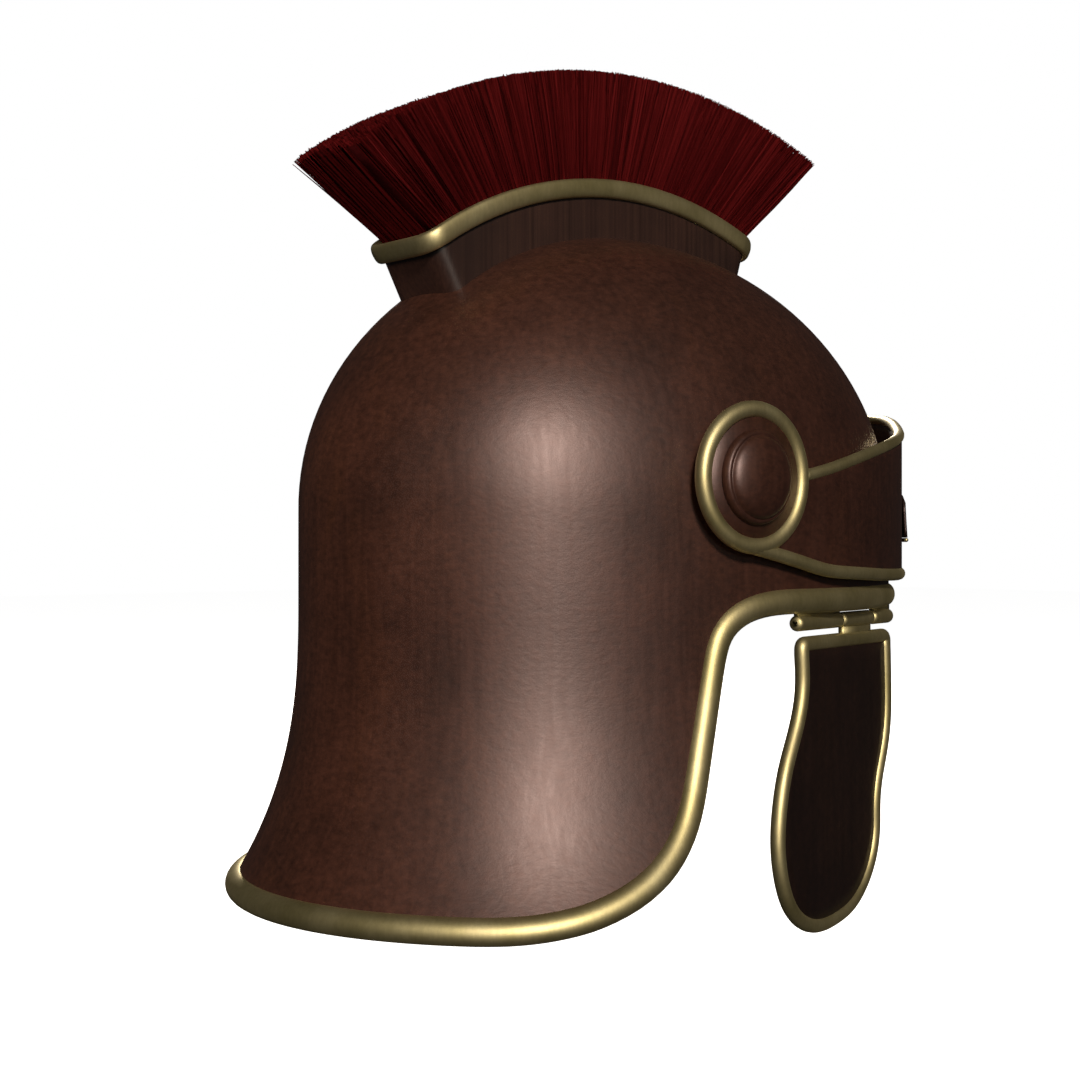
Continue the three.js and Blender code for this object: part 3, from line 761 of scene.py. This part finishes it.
BOX_SINK = 0.6  # the box's foot is pressed this far into the dome
BOX_TOP_RISE = 2.2  # its top stands this far over the middle of the brass rim
WALL_STEPS = 10
rim_line = [settle(x, y, lambda _, py: arc_height(CREST_RIM_ARC, py)) for x, y in BOX_OUTLINE]
foot_line = [settle(x, y, lambda px, py: dome_height(px, py) - BOX_SINK) for x, y in BOX_OUTLINE]
top_line = [p + Vector((0, 0, BOX_TOP_RISE)) for p in rim_line]
box_rings = [
    [foot.lerp(top, i / WALL_STEPS) for foot, top in zip(foot_line, top_line)]
    for i in range(WALL_STEPS + 1)
]
middle_line = [Vector((0.0, p.y * 0.97, p.z)) for p in top_line]
for share in (0.04, 0.5, 0.96):
    box_rings.append([top.lerp(mid, share) for top, mid in zip(top_line, middle_line)])
box_points, box_faces = skin(box_rings, False)
# The two caps would lie inside the bell and under the bristles, so they are left off.
crest_box = mesh_object("wooden_crest_box", box_points, box_faces[:-2])
finish_piece(crest_box, "helmet", "crest_wood", crest_wood, "crest_box")


# %% Crest rim
def rim_outward(line):
    """The outward direction of the box's wall at each point of a line round it."""

    def outward(_, i):
        before, after = line[i - 1], line[(i + 1) % len(line)]
        square = Vector((after.y - before.y, before.x - after.x, 0)).normalized()
        slope = (CREST_FRONT if square.y < 0 else CREST_BACK)[2]
        square.z = -abs(square.y * slope)
        return square

    return outward


def rim_section():
    """A flat back let into the wall, and a full round front."""
    half = CREST_RIM_HEIGHT / 2
    sunk, edge = -0.4, 0.5
    section = [(-half, sunk), (half, sunk)]
    for i in range(13):
        turn = i / 12 * math.pi
        stand = edge + (CREST_RIM_STAND - edge) * math.sin(turn) ** 0.6
        section.append((half * math.cos(turn), stand))
    return section


rim_skin = skin(sweep(rim_line, rim_outward(rim_line), rim_section(), True), True)
crest_rim = joined("brass_crest_rim", [rim_skin])
finish_piece(crest_rim, "helmet", "brass", polished_brass, "crest_rim")

# %% [markdown]
# ## The crest brush
# Real bristles are bundled, set in the box and trimmed to an arc, so they fan out from foot to tip.
# A particle system would need converting and is slow to settle, so each bristle is a thin
# three-sided blade of mesh, placed by a seeded random draw. A core behind them closes the gaps
# between blades, as the mass of hair does. Its very dark tone is painted shade deep in the brush.

# %% Brush form
BRUSH_FRONT = (-67, 151, -1.152)
BRUSH_BACK = (103, 137, 1.333)
BRUSH_FOOT_HALF = 18.4
BRUSH_TIP_HALF = 22.2
REAR_CORNER_FALL = 4.5  # the trimmed top drops this far at its rear corners


def brush_end(end, height_of):
    """Where the brush's end wall meets an arc, as a place y."""
    z = end[1]
    for _ in range(30):
        z = 0.5 * z + 0.5 * height_of(end_wall(end, z))
    return end_wall(end, z)


def foot_height(y):
    """Where the bristles start over a place y."""
    return arc_height(CREST_RIM_ARC, y) + 1.0


def tip_height(y):
    """Where the bristles are trimmed over a place y."""
    return arc_height(BRUSH_TOP_ARC, y)


FOOT_FRONT, FOOT_BACK = (brush_end(e, foot_height) for e in (BRUSH_FRONT, BRUSH_BACK))
TIP_FRONT, TIP_BACK = (brush_end(e, tip_height) for e in (BRUSH_FRONT, BRUSH_BACK))
print("brush tips run from y", round(TIP_FRONT, 1), "to", round(TIP_BACK, 1), "mm")


def in_brush(along, across, up):
    """A point of the brush: along 0 to 1 from front to back, across -1 to 1, up 0 to 1."""
    foot_y = FOOT_FRONT + (FOOT_BACK - FOOT_FRONT) * along
    tip_y = TIP_FRONT + (TIP_BACK - TIP_FRONT) * along
    foot = Vector((across * BRUSH_FOOT_HALF, foot_y, foot_height(foot_y)))
    tip = Vector((across * BRUSH_TIP_HALF, tip_y, tip_height(tip_y)))
    tip.z -= REAR_CORNER_FALL * across**2 * along**12
    return foot.lerp(tip, up)


# %% Brush core
def core_rings():
    """Level loops of the core, a little inside the bristles."""
    rings = []
    for up in (0.0, 0.25, 0.5, 0.75, 0.955):
        loop = []
        for x, y in rounded_level(1.0, -5.0, 5.0, 0.25, 6, 0.25):
            loop.append(in_brush(0.5 + y * 0.0985, x * 0.93, up))
        rings.append(loop)
    last = rings[-1]
    middle = [Vector((0.0, p.y * 0.98, p.z)) for p in last]
    rings.append([p.lerp(m, 0.5) for p, m in zip(last, middle)])
    rings.append([p.lerp(m, 0.97) for p, m in zip(last, middle)])
    return rings


core_points, core_faces = skin(core_rings(), False)
brush_core = mesh_object("bristle_core", core_points, core_faces[:-1])
# The core gets the darkest tone of all: painted shade for the hair deep inside the brush.
tone = brush_core.data.attributes.new("bristle_tone", "FLOAT", "POINT")
tone.data.foreach_set("value", [0.05] * len(brush_core.data.vertices))
finish_piece(brush_core, "helmet", "bristle", bristle, "crest_brush")


# %% Bristles
def bristle_blades(name, places, seed, mean_tone_and_painted_light=0.42):
    """Many thin bristles as one mesh. Each place is (along, across, start, end, width). A higher
    mean tone is painted light: it lightens the bristles of a face that the lamps leave dark."""
    draw = random.Random(seed)
    points, faces, tones = [], [], []
    for along, across, start, end, width in places:
        base_tone = min(1.0, max(0.0, draw.gauss(mean_tone_and_painted_light, 0.17)))
        sway = (draw.gauss(0, 0.25), draw.gauss(0, 0.4))
        drift = (draw.gauss(0, 0.002), draw.gauss(0, 0.007))
        steps = 4 if end - start > 0.5 else 2
        turn0 = draw.uniform(0, 2 * math.pi)
        first = len(points)
        for k in range(steps + 1):
            share = k / steps
            up = start + (end - start) * share
            centre = in_brush(along + drift[0] * share, across + drift[1] * share, up)
            bow = math.sin(share * math.pi)
            centre.x += sway[0] * bow
            centre.y += sway[1] * bow
            radius = width * (0.5 if k < steps else 0.3)
            for corner in range(3):
                turn = turn0 + corner * 2 * math.pi / 3
                spoke = Vector((math.cos(turn) * radius, math.sin(turn) * radius, 0))
                points.append(centre + spoke)
                tones.append(base_tone * (0.55 + 0.5 * up) + 0.06)
        for k in range(steps):
            low, high = first + 3 * k, first + 3 * (k + 1)
            for a, b in ((0, 1), (1, 2), (2, 0)):
                faces.append((low + a, low + b, high + b, high + a))
        top = first + 3 * steps
        faces.append((top, top + 1, top + 2))
    mesh = bpy.data.meshes.new(name)
    mesh.from_pydata([p * MM for p in points], [], faces)
    attribute = mesh.attributes.new("bristle_tone", "FLOAT", "POINT")
    attribute.data.foreach_set("value", tones)
    obj = bpy.data.objects.new(name, mesh)
    bpy.context.scene.collection.objects.link(obj)
    return finish_piece(obj, "helmet", "bristle", bristle)


# %% Places for the bristles
CORNER_SHARE = 0.018  # the round corners of the brush take up this share of its length


def corner_inset(across):
    """How far a corner of the brush stands in from its end, as a share of its length."""
    return CORNER_SHARE * (max(0.0, abs(across) - 0.6) / 0.4) ** 2


def side_places(sign, seed):
    """Long bristles over one side of the brush, in layers that step inwards."""
    draw = random.Random(seed)
    places = []
    layers, count = 4, 560
    for layer in range(layers):
        for i in range(count):
            share = min(1.0, max(0.0, (i + draw.uniform(-0.5, 0.5)) / (count - 1)))
            along = CORNER_SHARE + (1 - 2 * CORNER_SHARE) * share
            across = sign * (1.0 - 0.02 * layer - abs(draw.gauss(0, 0.01)))
            end = 1.0 + draw.gauss(-0.008, 0.004)
            places.append((along, across, 0.0, end, draw.uniform(0.6, 0.95)))
    return places


def end_places(at_back, seed):
    """Long bristles over one end of the brush."""
    draw = random.Random(seed)
    places = []
    layers, count = 4, 70
    for layer in range(layers):
        for i in range(count):
            across = (i / (count - 1)) * 2 - 1 + draw.uniform(-0.02, 0.02)
            inset = 0.006 + 0.004 * layer + abs(draw.gauss(0, 0.002))
            inset += corner_inset(across)
            along = 1 - inset if at_back else inset
            end = 1.0 + draw.gauss(-0.012, 0.007)
            places.append((along, min(1, max(-1, across)), 0.0, end, draw.uniform(0.7, 1.15)))
    return places


def tip_places(seed):
    """Short bristle tips over the trimmed top."""
    draw = random.Random(seed)
    places = []
    rows, lines = 190, 30
    for i in range(rows):
        for j in range(lines):
            across = (((j + draw.random()) / lines) * 2 - 1) * 0.985
            inset = 0.012 + corner_inset(across)
            along = inset + (1 - 2 * inset) * (i + draw.random()) / rows
            end = 1.0 + draw.gauss(-0.012, 0.006)
            places.append((along, across, 0.82, end, draw.uniform(0.8, 1.25)))
    return places


# %% Fill the brush
bristle_blades("bristles_right", side_places(-1, 11), 21)
bristle_blades("bristles_left", side_places(1, 12), 22)
bristle_blades("bristles_front", end_places(False, 13), 23)
# The back end's high mean tone is painted light on an end face that the lamps leave dark.
bristle_blades("bristles_back", end_places(True, 14), 24, 0.95)
bristle_blades("bristles_top", tip_places(15), 25)

# %% [markdown]
# ## The brow guard
# A band of thick hide stands off the forehead from temple to temple. Its plan is one smooth line,
# and its upper and lower edges are two more, so the band, both tubes and the plaque all read their
# places from the same three lines and can't drift apart.

# %% Lines of the guard
GUARD_WALL = 2.4
TEMPLE_Y, TEMPLE_Z, TEMPLE_RADIUS = 21.0, 45.3, 24.5
RING_TUBE, UPPER_TUBE, LOWER_TUBE = 3.0, 2.2, 2.6
GUARD_RIGHT = [
    (-101.8, 50),
    (-103.2, 30),
    (-103.6, 10),
    (-102.9, -12),
    (-99.5, -38),
    (-90.2, -67),
    (-75.8, -94),
    (-55.5, -119),
    (-30, -141.5),
]
guard_knots = GUARD_RIGHT + [(0, -153)] + [(-x, y) for x, y in reversed(GUARD_RIGHT)]
GUARD_PLAN = smooth_line([(x, y, 0) for x, y in guard_knots], 401)
upper_knots = [(-160, 80), (-140, 76.4), (-117, 70), (-85, 63.2)]
upper_knots += [(-60, 58.4), (-38, 53.6), (-18, 48.9), (-3, 46)]
UPPER_EDGE = smooth_line(upper_knots, 80)
lower_knots = [(-160, 9), (-110, 9), (-60, 9.6), (-33, 10.8), (-18, 12)]
lower_knots += [(-8, 14), (5, 16.9), (17, 19.4), (26, 21.3)]
LOWER_EDGE = smooth_line(lower_knots, 80)


def height_on(edge, y):
    """The height of an edge line at a place y."""
    return float(np.interp(y, edge[:, 0], edge[:, 1]))


def guard_outward(i):
    """The guard's outward direction at a point of its plan."""
    before = GUARD_PLAN[max(i - 1, 0)]
    after = GUARD_PLAN[min(i + 1, len(GUARD_PLAN) - 1)]
    along = (Vector(after) - Vector(before)).normalized()
    return Vector((along.y, -along.x, 0))


def plan_from(y):
    """The first and last places in the plan that lie ahead of y."""
    ahead = [i for i, p in enumerate(GUARD_PLAN) if p[1] <= y]
    return ahead[0], ahead[-1]


print("guard plan runs", round(float(GUARD_PLAN[:, 1].min()), 1), "to", GUARD_PLAN[0][1], "mm")


# %% The band
def guard_band():
    """The band between the tubes, as a thick strip. Its ends run out under the temple rings."""
    first, last = plan_from(14)
    rows = 14
    rings = []
    for i in range(first, last + 1, 2):
        x, y, _ = GUARD_PLAN[i]
        outward = guard_outward(i)
        low = height_on(LOWER_EDGE, y)
        high = height_on(UPPER_EDGE, min(y, -4))
        if y > TEMPLE_Y - TEMPLE_RADIUS:
            high = TEMPLE_Z - math.sqrt(TEMPLE_RADIUS**2 - (y - TEMPLE_Y) ** 2)
        front = Vector((x, y, 0)) + outward * GUARD_WALL / 2
        heights = [low + (high - low) * k / rows for k in range(rows + 1)]
        face = [front + Vector((0, 0, height)) for height in heights]
        back = [p - outward * GUARD_WALL for p in reversed(face)]
        rings.append(face + back)
    return skin(rings, False)


brow_band = joined("leather_brow_guard", [guard_band()])
finish_piece(brow_band, "helmet", "shell_leather", shell_leather, "brow_guard")


# %% Temple discs
def temple_x(y):
    """The x of the guard's middle at the wearer's right temple."""
    right = GUARD_PLAN[:120]
    order = np.argsort(right[:, 1])
    return float(np.interp(y, right[order, 1], right[order, 0]))


def temple_circle(radius, sides, x_at):
    """A circle about the temple's line. Each point stands at the x that x_at gives for its y."""
    circle = []
    for i in range(sides):
        turn = i / sides * 2 * math.pi
        y = TEMPLE_Y + radius * math.cos(turn)
        circle.append(Vector((x_at(y), y, TEMPLE_Z + radius * math.sin(turn))))
    return circle


def temple_disc():
    """The disc inside the ring, bent as the guard is."""
    half = GUARD_WALL / 2
    radii = [0.5, 12, TEMPLE_RADIUS]
    profile = [(r, half) for r in radii] + [(r, -half) for r in reversed(radii)]
    rings = [temple_circle(r, 64, lambda y, out=out: temple_x(y) - out) for r, out in profile]
    return skin(rings, False)


for side, part in zip(("right", "left"), both_sides(temple_disc())):
    disc = joined("leather_temple_disc_" + side, [part])
    finish_piece(disc, "helmet", "shell_leather", shell_leather, "temple_disc_" + side)


# %% Temple bosses
def temple_boss():
    """A dome with two steps, pressed in hide, turned about the temple's line."""
    face = temple_x(TEMPLE_Y) - GUARD_WALL / 2
    profile = [
        (0.3, 7.3),
        (3.5, 7.2),
        (7.0, 6.8),
        (10.0, 6.0),
        (12.6, 4.9),
        (14.1, 3.8),
        (14.8, 2.8),
        (15.1, 2.4),
        (15.6, 2.5),
        (16.2, 2.3),
        (16.7, 1.7),
        (17.0, 0.9),
        (17.1, 0.0),
        (17.1, -0.6),
    ]
    dense = smooth_line(profile, 60)
    rings = [temple_circle(r, 72, lambda _, out=out: face - out) for r, out in dense]
    return skin(rings, False)


for side, part in zip(("right", "left"), both_sides(temple_boss())):
    boss = joined("temple_boss_dome_" + side, [part])
    finish_piece(boss, "helmet", "shell_leather", shell_leather, "temple_boss_" + side)


# %% Brow tubes and temple rings
def brow_tube(edge, from_y, radius):
    """A tube along one edge of the band."""
    first, last = plan_from(from_y)
    picks = list(range(first, last + 1, 2))
    path = [Vector((x, y, height_on(edge, y))) for x, y, _ in GUARD_PLAN[picks]]
    section = oval(2 * radius, 2 * radius, 16)
    return skin(sweep(path, lambda _, k: guard_outward(picks[k]), section, False), False)


def temple_ring():
    """The brass ring round the temple disc, a hair proud of the guard's middle."""
    path = temple_circle(TEMPLE_RADIUS, 96, lambda y: temple_x(y) - 0.2)
    section = oval(2 * RING_TUBE, 2 * RING_TUBE, 20)
    return skin(sweep(path, lambda *_: (-1, 0, 0), section, True), True)


brow_trim = joined(
    "brass_brow_trim",
    [
        brow_tube(UPPER_EDGE, -3.2, UPPER_TUBE),
        brow_tube(LOWER_EDGE, 22, LOWER_TUBE),
        *both_sides(temple_ring()),
    ],
)
finish_piece(brow_trim, "helmet", "brass", polished_brass, "brow_trim")

# %% [markdown]
# ## The plaque
# A thin shaped plate rides on the front of the guard and leans out at its foot, where a wire edges
# it. It is a strip of the guard's own plan moved outwards, so it always follows the band.

# %% Plaque
PLAQUE_FOOT, PLAQUE_SIDE, PLAQUE_LEAN = 24.0, 39.0, 1.0
PLAQUE_CLEARANCE, PLAQUE_WALL, PLAQUE_WIRE = 0.9, 1.2, 0.9
PLAQUE_SHOULDER = PLAQUE_SIDE + 6  # the plate leans out from here down to its foot
PLAQUE_HALF_SPAN = 57.23
FOREHEAD_Y = -60  # the plan's stretch in front of this crosses the forehead


def plaque_line(z, reach, offset, count=41):
    """A level line of the plaque, moved outwards by offset."""
    fall = max(0.0, PLAQUE_SHOULDER - z) / (PLAQUE_SHOULDER - PLAQUE_FOOT)
    out = GUARD_WALL / 2 + PLAQUE_CLEARANCE + PLAQUE_LEAN * fall**1.4 + offset
    half_span = PLAQUE_HALF_SPAN * reach
    ahead = GUARD_PLAN[:, 1] < FOREHEAD_Y
    line = []
    for k in range(count):
        target = -half_span + 2 * half_span * k / (count - 1)
        index = int(np.argmin(np.where(ahead, abs(GUARD_PLAN[:, 0] - target), np.inf)))
        line.append(Vector(GUARD_PLAN[index]) + guard_outward(index) * out + Vector((0, 0, z)))
    return line


levels = [(PLAQUE_FOOT, 1), (27, 1), (31, 1), (35, 1), (PLAQUE_SIDE, 1)]
levels += [(42, 0.87), (45, 0.75), (49, 0.6), (53, 0.46), (58, 0.22)]
plaque_rings = [
    plaque_line(z, reach, 0) + plaque_line(z, reach, PLAQUE_WALL)[::-1] for z, reach in levels
]
plaque = joined("leather_brow_plaque", [skin(plaque_rings, False)])
finish_piece(plaque, "helmet", "trim_leather", trim_leather, "brow_plaque")
wire_path = plaque_line(PLAQUE_FOOT - PLAQUE_WIRE - 0.1, 1, PLAQUE_WALL / 2)
wire_section = oval(2 * PLAQUE_WIRE, 2 * PLAQUE_WIRE, 12)
wire_skin = skin(sweep(wire_path, lambda *_: (0, 0, 1), wire_section, False), False)
wire = joined("brass_plaque_wire", [wire_skin])
finish_piece(wire, "helmet", "brass", polished_brass, "plaque_wire")

# %% [markdown]
# ## Cheek guards
# Each guard is a flat plate of hide in a brass binding, wider at the chin. One outline in the
# hinge's own plane gives both: it is the plate's edge, and the middle line of the tube that hides
# that edge.

# %% Cheek outline
CHEEK_WALL, CHEEK_TUBE = 2.6, 2.8
CHEEK_REAR = [
    (3.6, -12),
    (3.9, -25),
    (-1.2, -39),
    (-9.5, -53),
    (-14.4, -67),
    (-15.8, -79),
    (-13.4, -92),
    (-6.5, -104),
    (4, -111.6),
    (16, -115),
]
CHEEK_FRONT = [
    (30, -115),
    (44, -112.6),
    (57, -105.5),
    (65.5, -95),
    (68.4, -85),
    (68.6, -76),
    (70.6, -66),
    (75.4, -55),
    (78.8, -44),
    (79.6, -31),
    (78.6, -12),
]
CHEEK_TOP = -7.9
CHEEK_CORNER = 2.0


def cheek_outline():
    """The closed middle line of the cheek guard's binding."""
    line = [tuple(p) for p in smooth_line(CHEEK_REAR + CHEEK_FRONT, 150)]
    front, rear = CHEEK_FRONT[-1][0], CHEEK_REAR[0][0]
    turns = [i / 6 * math.pi / 2 for i in range(7)]
    corner = [(CHEEK_CORNER * (1 - math.cos(t)), CHEEK_CORNER * (1 - math.sin(t))) for t in turns]
    line += [(front - inwards - 0.1, CHEEK_TOP - down) for inwards, down in corner]
    top_front, top_rear = front - CHEEK_CORNER, rear + CHEEK_CORNER
    line += [(top_front + (top_rear - top_front) * i / 20, CHEEK_TOP) for i in range(1, 20)]
    line += [(rear + inwards, CHEEK_TOP - down) for down, inwards in corner]
    return line


print("cheek outline points:", len(cheek_outline()))


# %% Cheek guards
def cheek_binding():
    """The tube round the plate, with the middle knuckle."""
    path = [in_hinge(s, z, 0) for s, z in cheek_outline()]
    section = oval(2 * CHEEK_TUBE, 2 * CHEEK_TUBE, 18)
    tube = skin(sweep(path, lambda *_: HINGE_OUT, section, True), True)
    return [tube, knuckle(*CHEEK_KNUCKLE), tab(*CHEEK_KNUCKLE, -8, -2)]


def cheek_plate():
    """The plate, from its middle out to the binding, on both faces."""
    line = cheek_outline()
    mid_s, mid_z = 32.0, -62.0
    half = CHEEK_WALL / 2
    shares = [0.02, 0.3, 0.6, 0.85, 1.0]
    rings = []
    for share, depth in [(s, -half) for s in shares] + [(s, half) for s in reversed(shares)]:
        loop = [(mid_s + (s - mid_s) * share, mid_z + (z - mid_z) * share) for s, z in line]
        rings.append([in_hinge(s, z, depth) for s, z in loop])
    return skin(rings, False)


for pick, side in enumerate(("right", "left")):
    body = "cheek_guard_" + side
    plate = joined("leather_cheek_plate_" + side, [both_sides(cheek_plate())[pick]])
    finish_piece(plate, body, "trim_leather", trim_leather, "cheek_plate_" + side)
    brass_parts = [both_sides(part)[pick] for part in cheek_binding()]
    tube = joined("brass_cheek_binding_" + side, brass_parts)
    finish_piece(tube, body, "brass", polished_brass, "cheek_binding_" + side)
    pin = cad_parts["hinge_pin_" + side]
    pin.data.materials.clear()
    pin.data.materials.append(pin_wire)

# %% [markdown]
# ## Studio
# The helmet hangs free where a head would hold it, over a plain pale floor in a white room. A soft
# key light stands above and behind the camera and a weaker one nearly at its own height, so the wax
# carries a long soft highlight. A broad bounce at the left opens the shade a little, and the sides
# that turn away stay dark. A lamp straight across from the camera shows the far side to anyone who
# walks round. The room and the floor are white to the eye, but they light the helmet only weakly.
# A floor could bounce the lamps back up, as a real one does, but the brass would then shine from
# below, so diffuse and glossy rays pass this one by, and a glow of its own keeps it pale.

# %% Camera
CAMERA_TURN = math.radians(39.5)
CAMERA_DISTANCE = 700.0
CAMERA_SIDE = -26.9
CAMERA_HEIGHT = 23.0
CAMERA_LENS = 56.63
SENSOR_WIDTH = 36.0
FAR_CLIP = 50.0
back = Vector((-math.cos(CAMERA_TURN), math.sin(CAMERA_TURN), 0))
right = Vector((-math.sin(CAMERA_TURN), -math.cos(CAMERA_TURN), 0))
camera_data = bpy.data.cameras.new("camera")
camera_data.lens = CAMERA_LENS
camera_data.sensor_width = SENSOR_WIDTH
camera_data.clip_end = FAR_CLIP
camera = bpy.data.objects.new("camera", camera_data)
bpy.context.scene.collection.objects.link(camera)
camera_place = back * CAMERA_DISTANCE + right * CAMERA_SIDE + Vector((0, 0, CAMERA_HEIGHT))
camera.location = camera_place * MM
camera.rotation_euler = (-back).to_track_quat("-Z", "Y").to_euler()
bpy.context.scene.camera = camera
print("camera at", [round(c) for c in camera_place], "mm")

# %% Floor
FLOOR_LEVEL = -200.0  # clear below the cheek guards at every pose
FLOOR_REACH = 6000.0
FLOOR_GLOW = 0.96
floor_material = bpy.data.materials.new("Pale Matt Studio Floor")
floor_material.use_nodes = True
floor_shader = floor_material.node_tree.nodes["Principled BSDF"]
floor_shader.inputs["Base Color"].default_value = linear("#f7f7f7")
floor_shader.inputs["Roughness"].default_value = 0.9
floor_shader.inputs["Emission Color"].default_value = linear("#ffffff")
floor_shader.inputs["Emission Strength"].default_value = FLOOR_GLOW
floor_mesh = bpy.data.meshes.new("floor")
floor_corners = [(-1, -1), (1, -1), (1, 1), (-1, 1)]
floor_mesh.from_pydata(
    [Vector((x * FLOOR_REACH, y * FLOOR_REACH, FLOOR_LEVEL)) * MM for x, y in floor_corners],
    [],
    [(0, 1, 2, 3)],
)
floor_mesh.materials.append(floor_material)
floor = bpy.data.objects.new("floor", floor_mesh)
floor.visible_diffuse = False
floor.visible_glossy = False
bpy.context.scene.collection.objects.link(floor)
print("floor", 2 * FLOOR_REACH, "mm across, at", FLOOR_LEVEL, "mm")

# %% Lights
LAMP_COLOUR = "#fff4e6"


def area_light(name, place_mm, size_mm, watts):
    """A round soft lamp, a little warm, aimed at the middle of the helmet."""
    data = bpy.data.lights.new(name, "AREA")
    data.shape = "DISK"
    data.size = size_mm * MM
    data.energy = watts
    data.color = linear(LAMP_COLOUR)[:3]
    light = bpy.data.objects.new(name, data)
    light.location = Vector(place_mm) * MM
    light.rotation_euler = (-light.location).to_track_quat("-Z", "Y").to_euler()
    bpy.context.scene.collection.objects.link(light)
    return light


def from_camera(toward, side, up):
    """A place given towards the camera, to the picture's right and up, in millimetres."""
    return back * toward + right * side + Vector((0, 0, up))


area_light("key", from_camera(2160, 290, 1120), size_mm=360, watts=48)
low_key = area_light("low key", from_camera(2430, 400, 440), size_mm=460, watts=31)
low_key.visible_diffuse = False  # only its long reflection shows, so cast shadows stay deep
side_fill = area_light("side fill", from_camera(1500, -1750, 600), size_mm=1000, watts=25)
side_fill.visible_glossy = False  # a matt bounce: it opens the shade and leaves no highlight
area_light("far side", from_camera(-2100, 0, 950), size_mm=200, watts=48)

# %% Room
ROOM_LIGHT = 0.02  # how strongly the room lights the helmet
ROOM_WHITE = 1.0  # how bright its walls look
world = bpy.data.worlds.new("pale room")
bpy.context.scene.world = world
world.use_nodes = True
world_tree = world.node_tree
seen_directly = add_node(world_tree, "ShaderNodeLightPath").outputs["Is Camera Ray"]
strength = spread(world_tree, seen_directly, ROOM_LIGHT, ROOM_WHITE)
world_tree.links.new(strength, world_tree.nodes["Background"].inputs["Strength"])
world_tree.nodes["Background"].inputs["Color"].default_value = linear("#ffffff")
bpy.context.scene.view_settings.view_transform = "Standard"
print("room:", world.name)
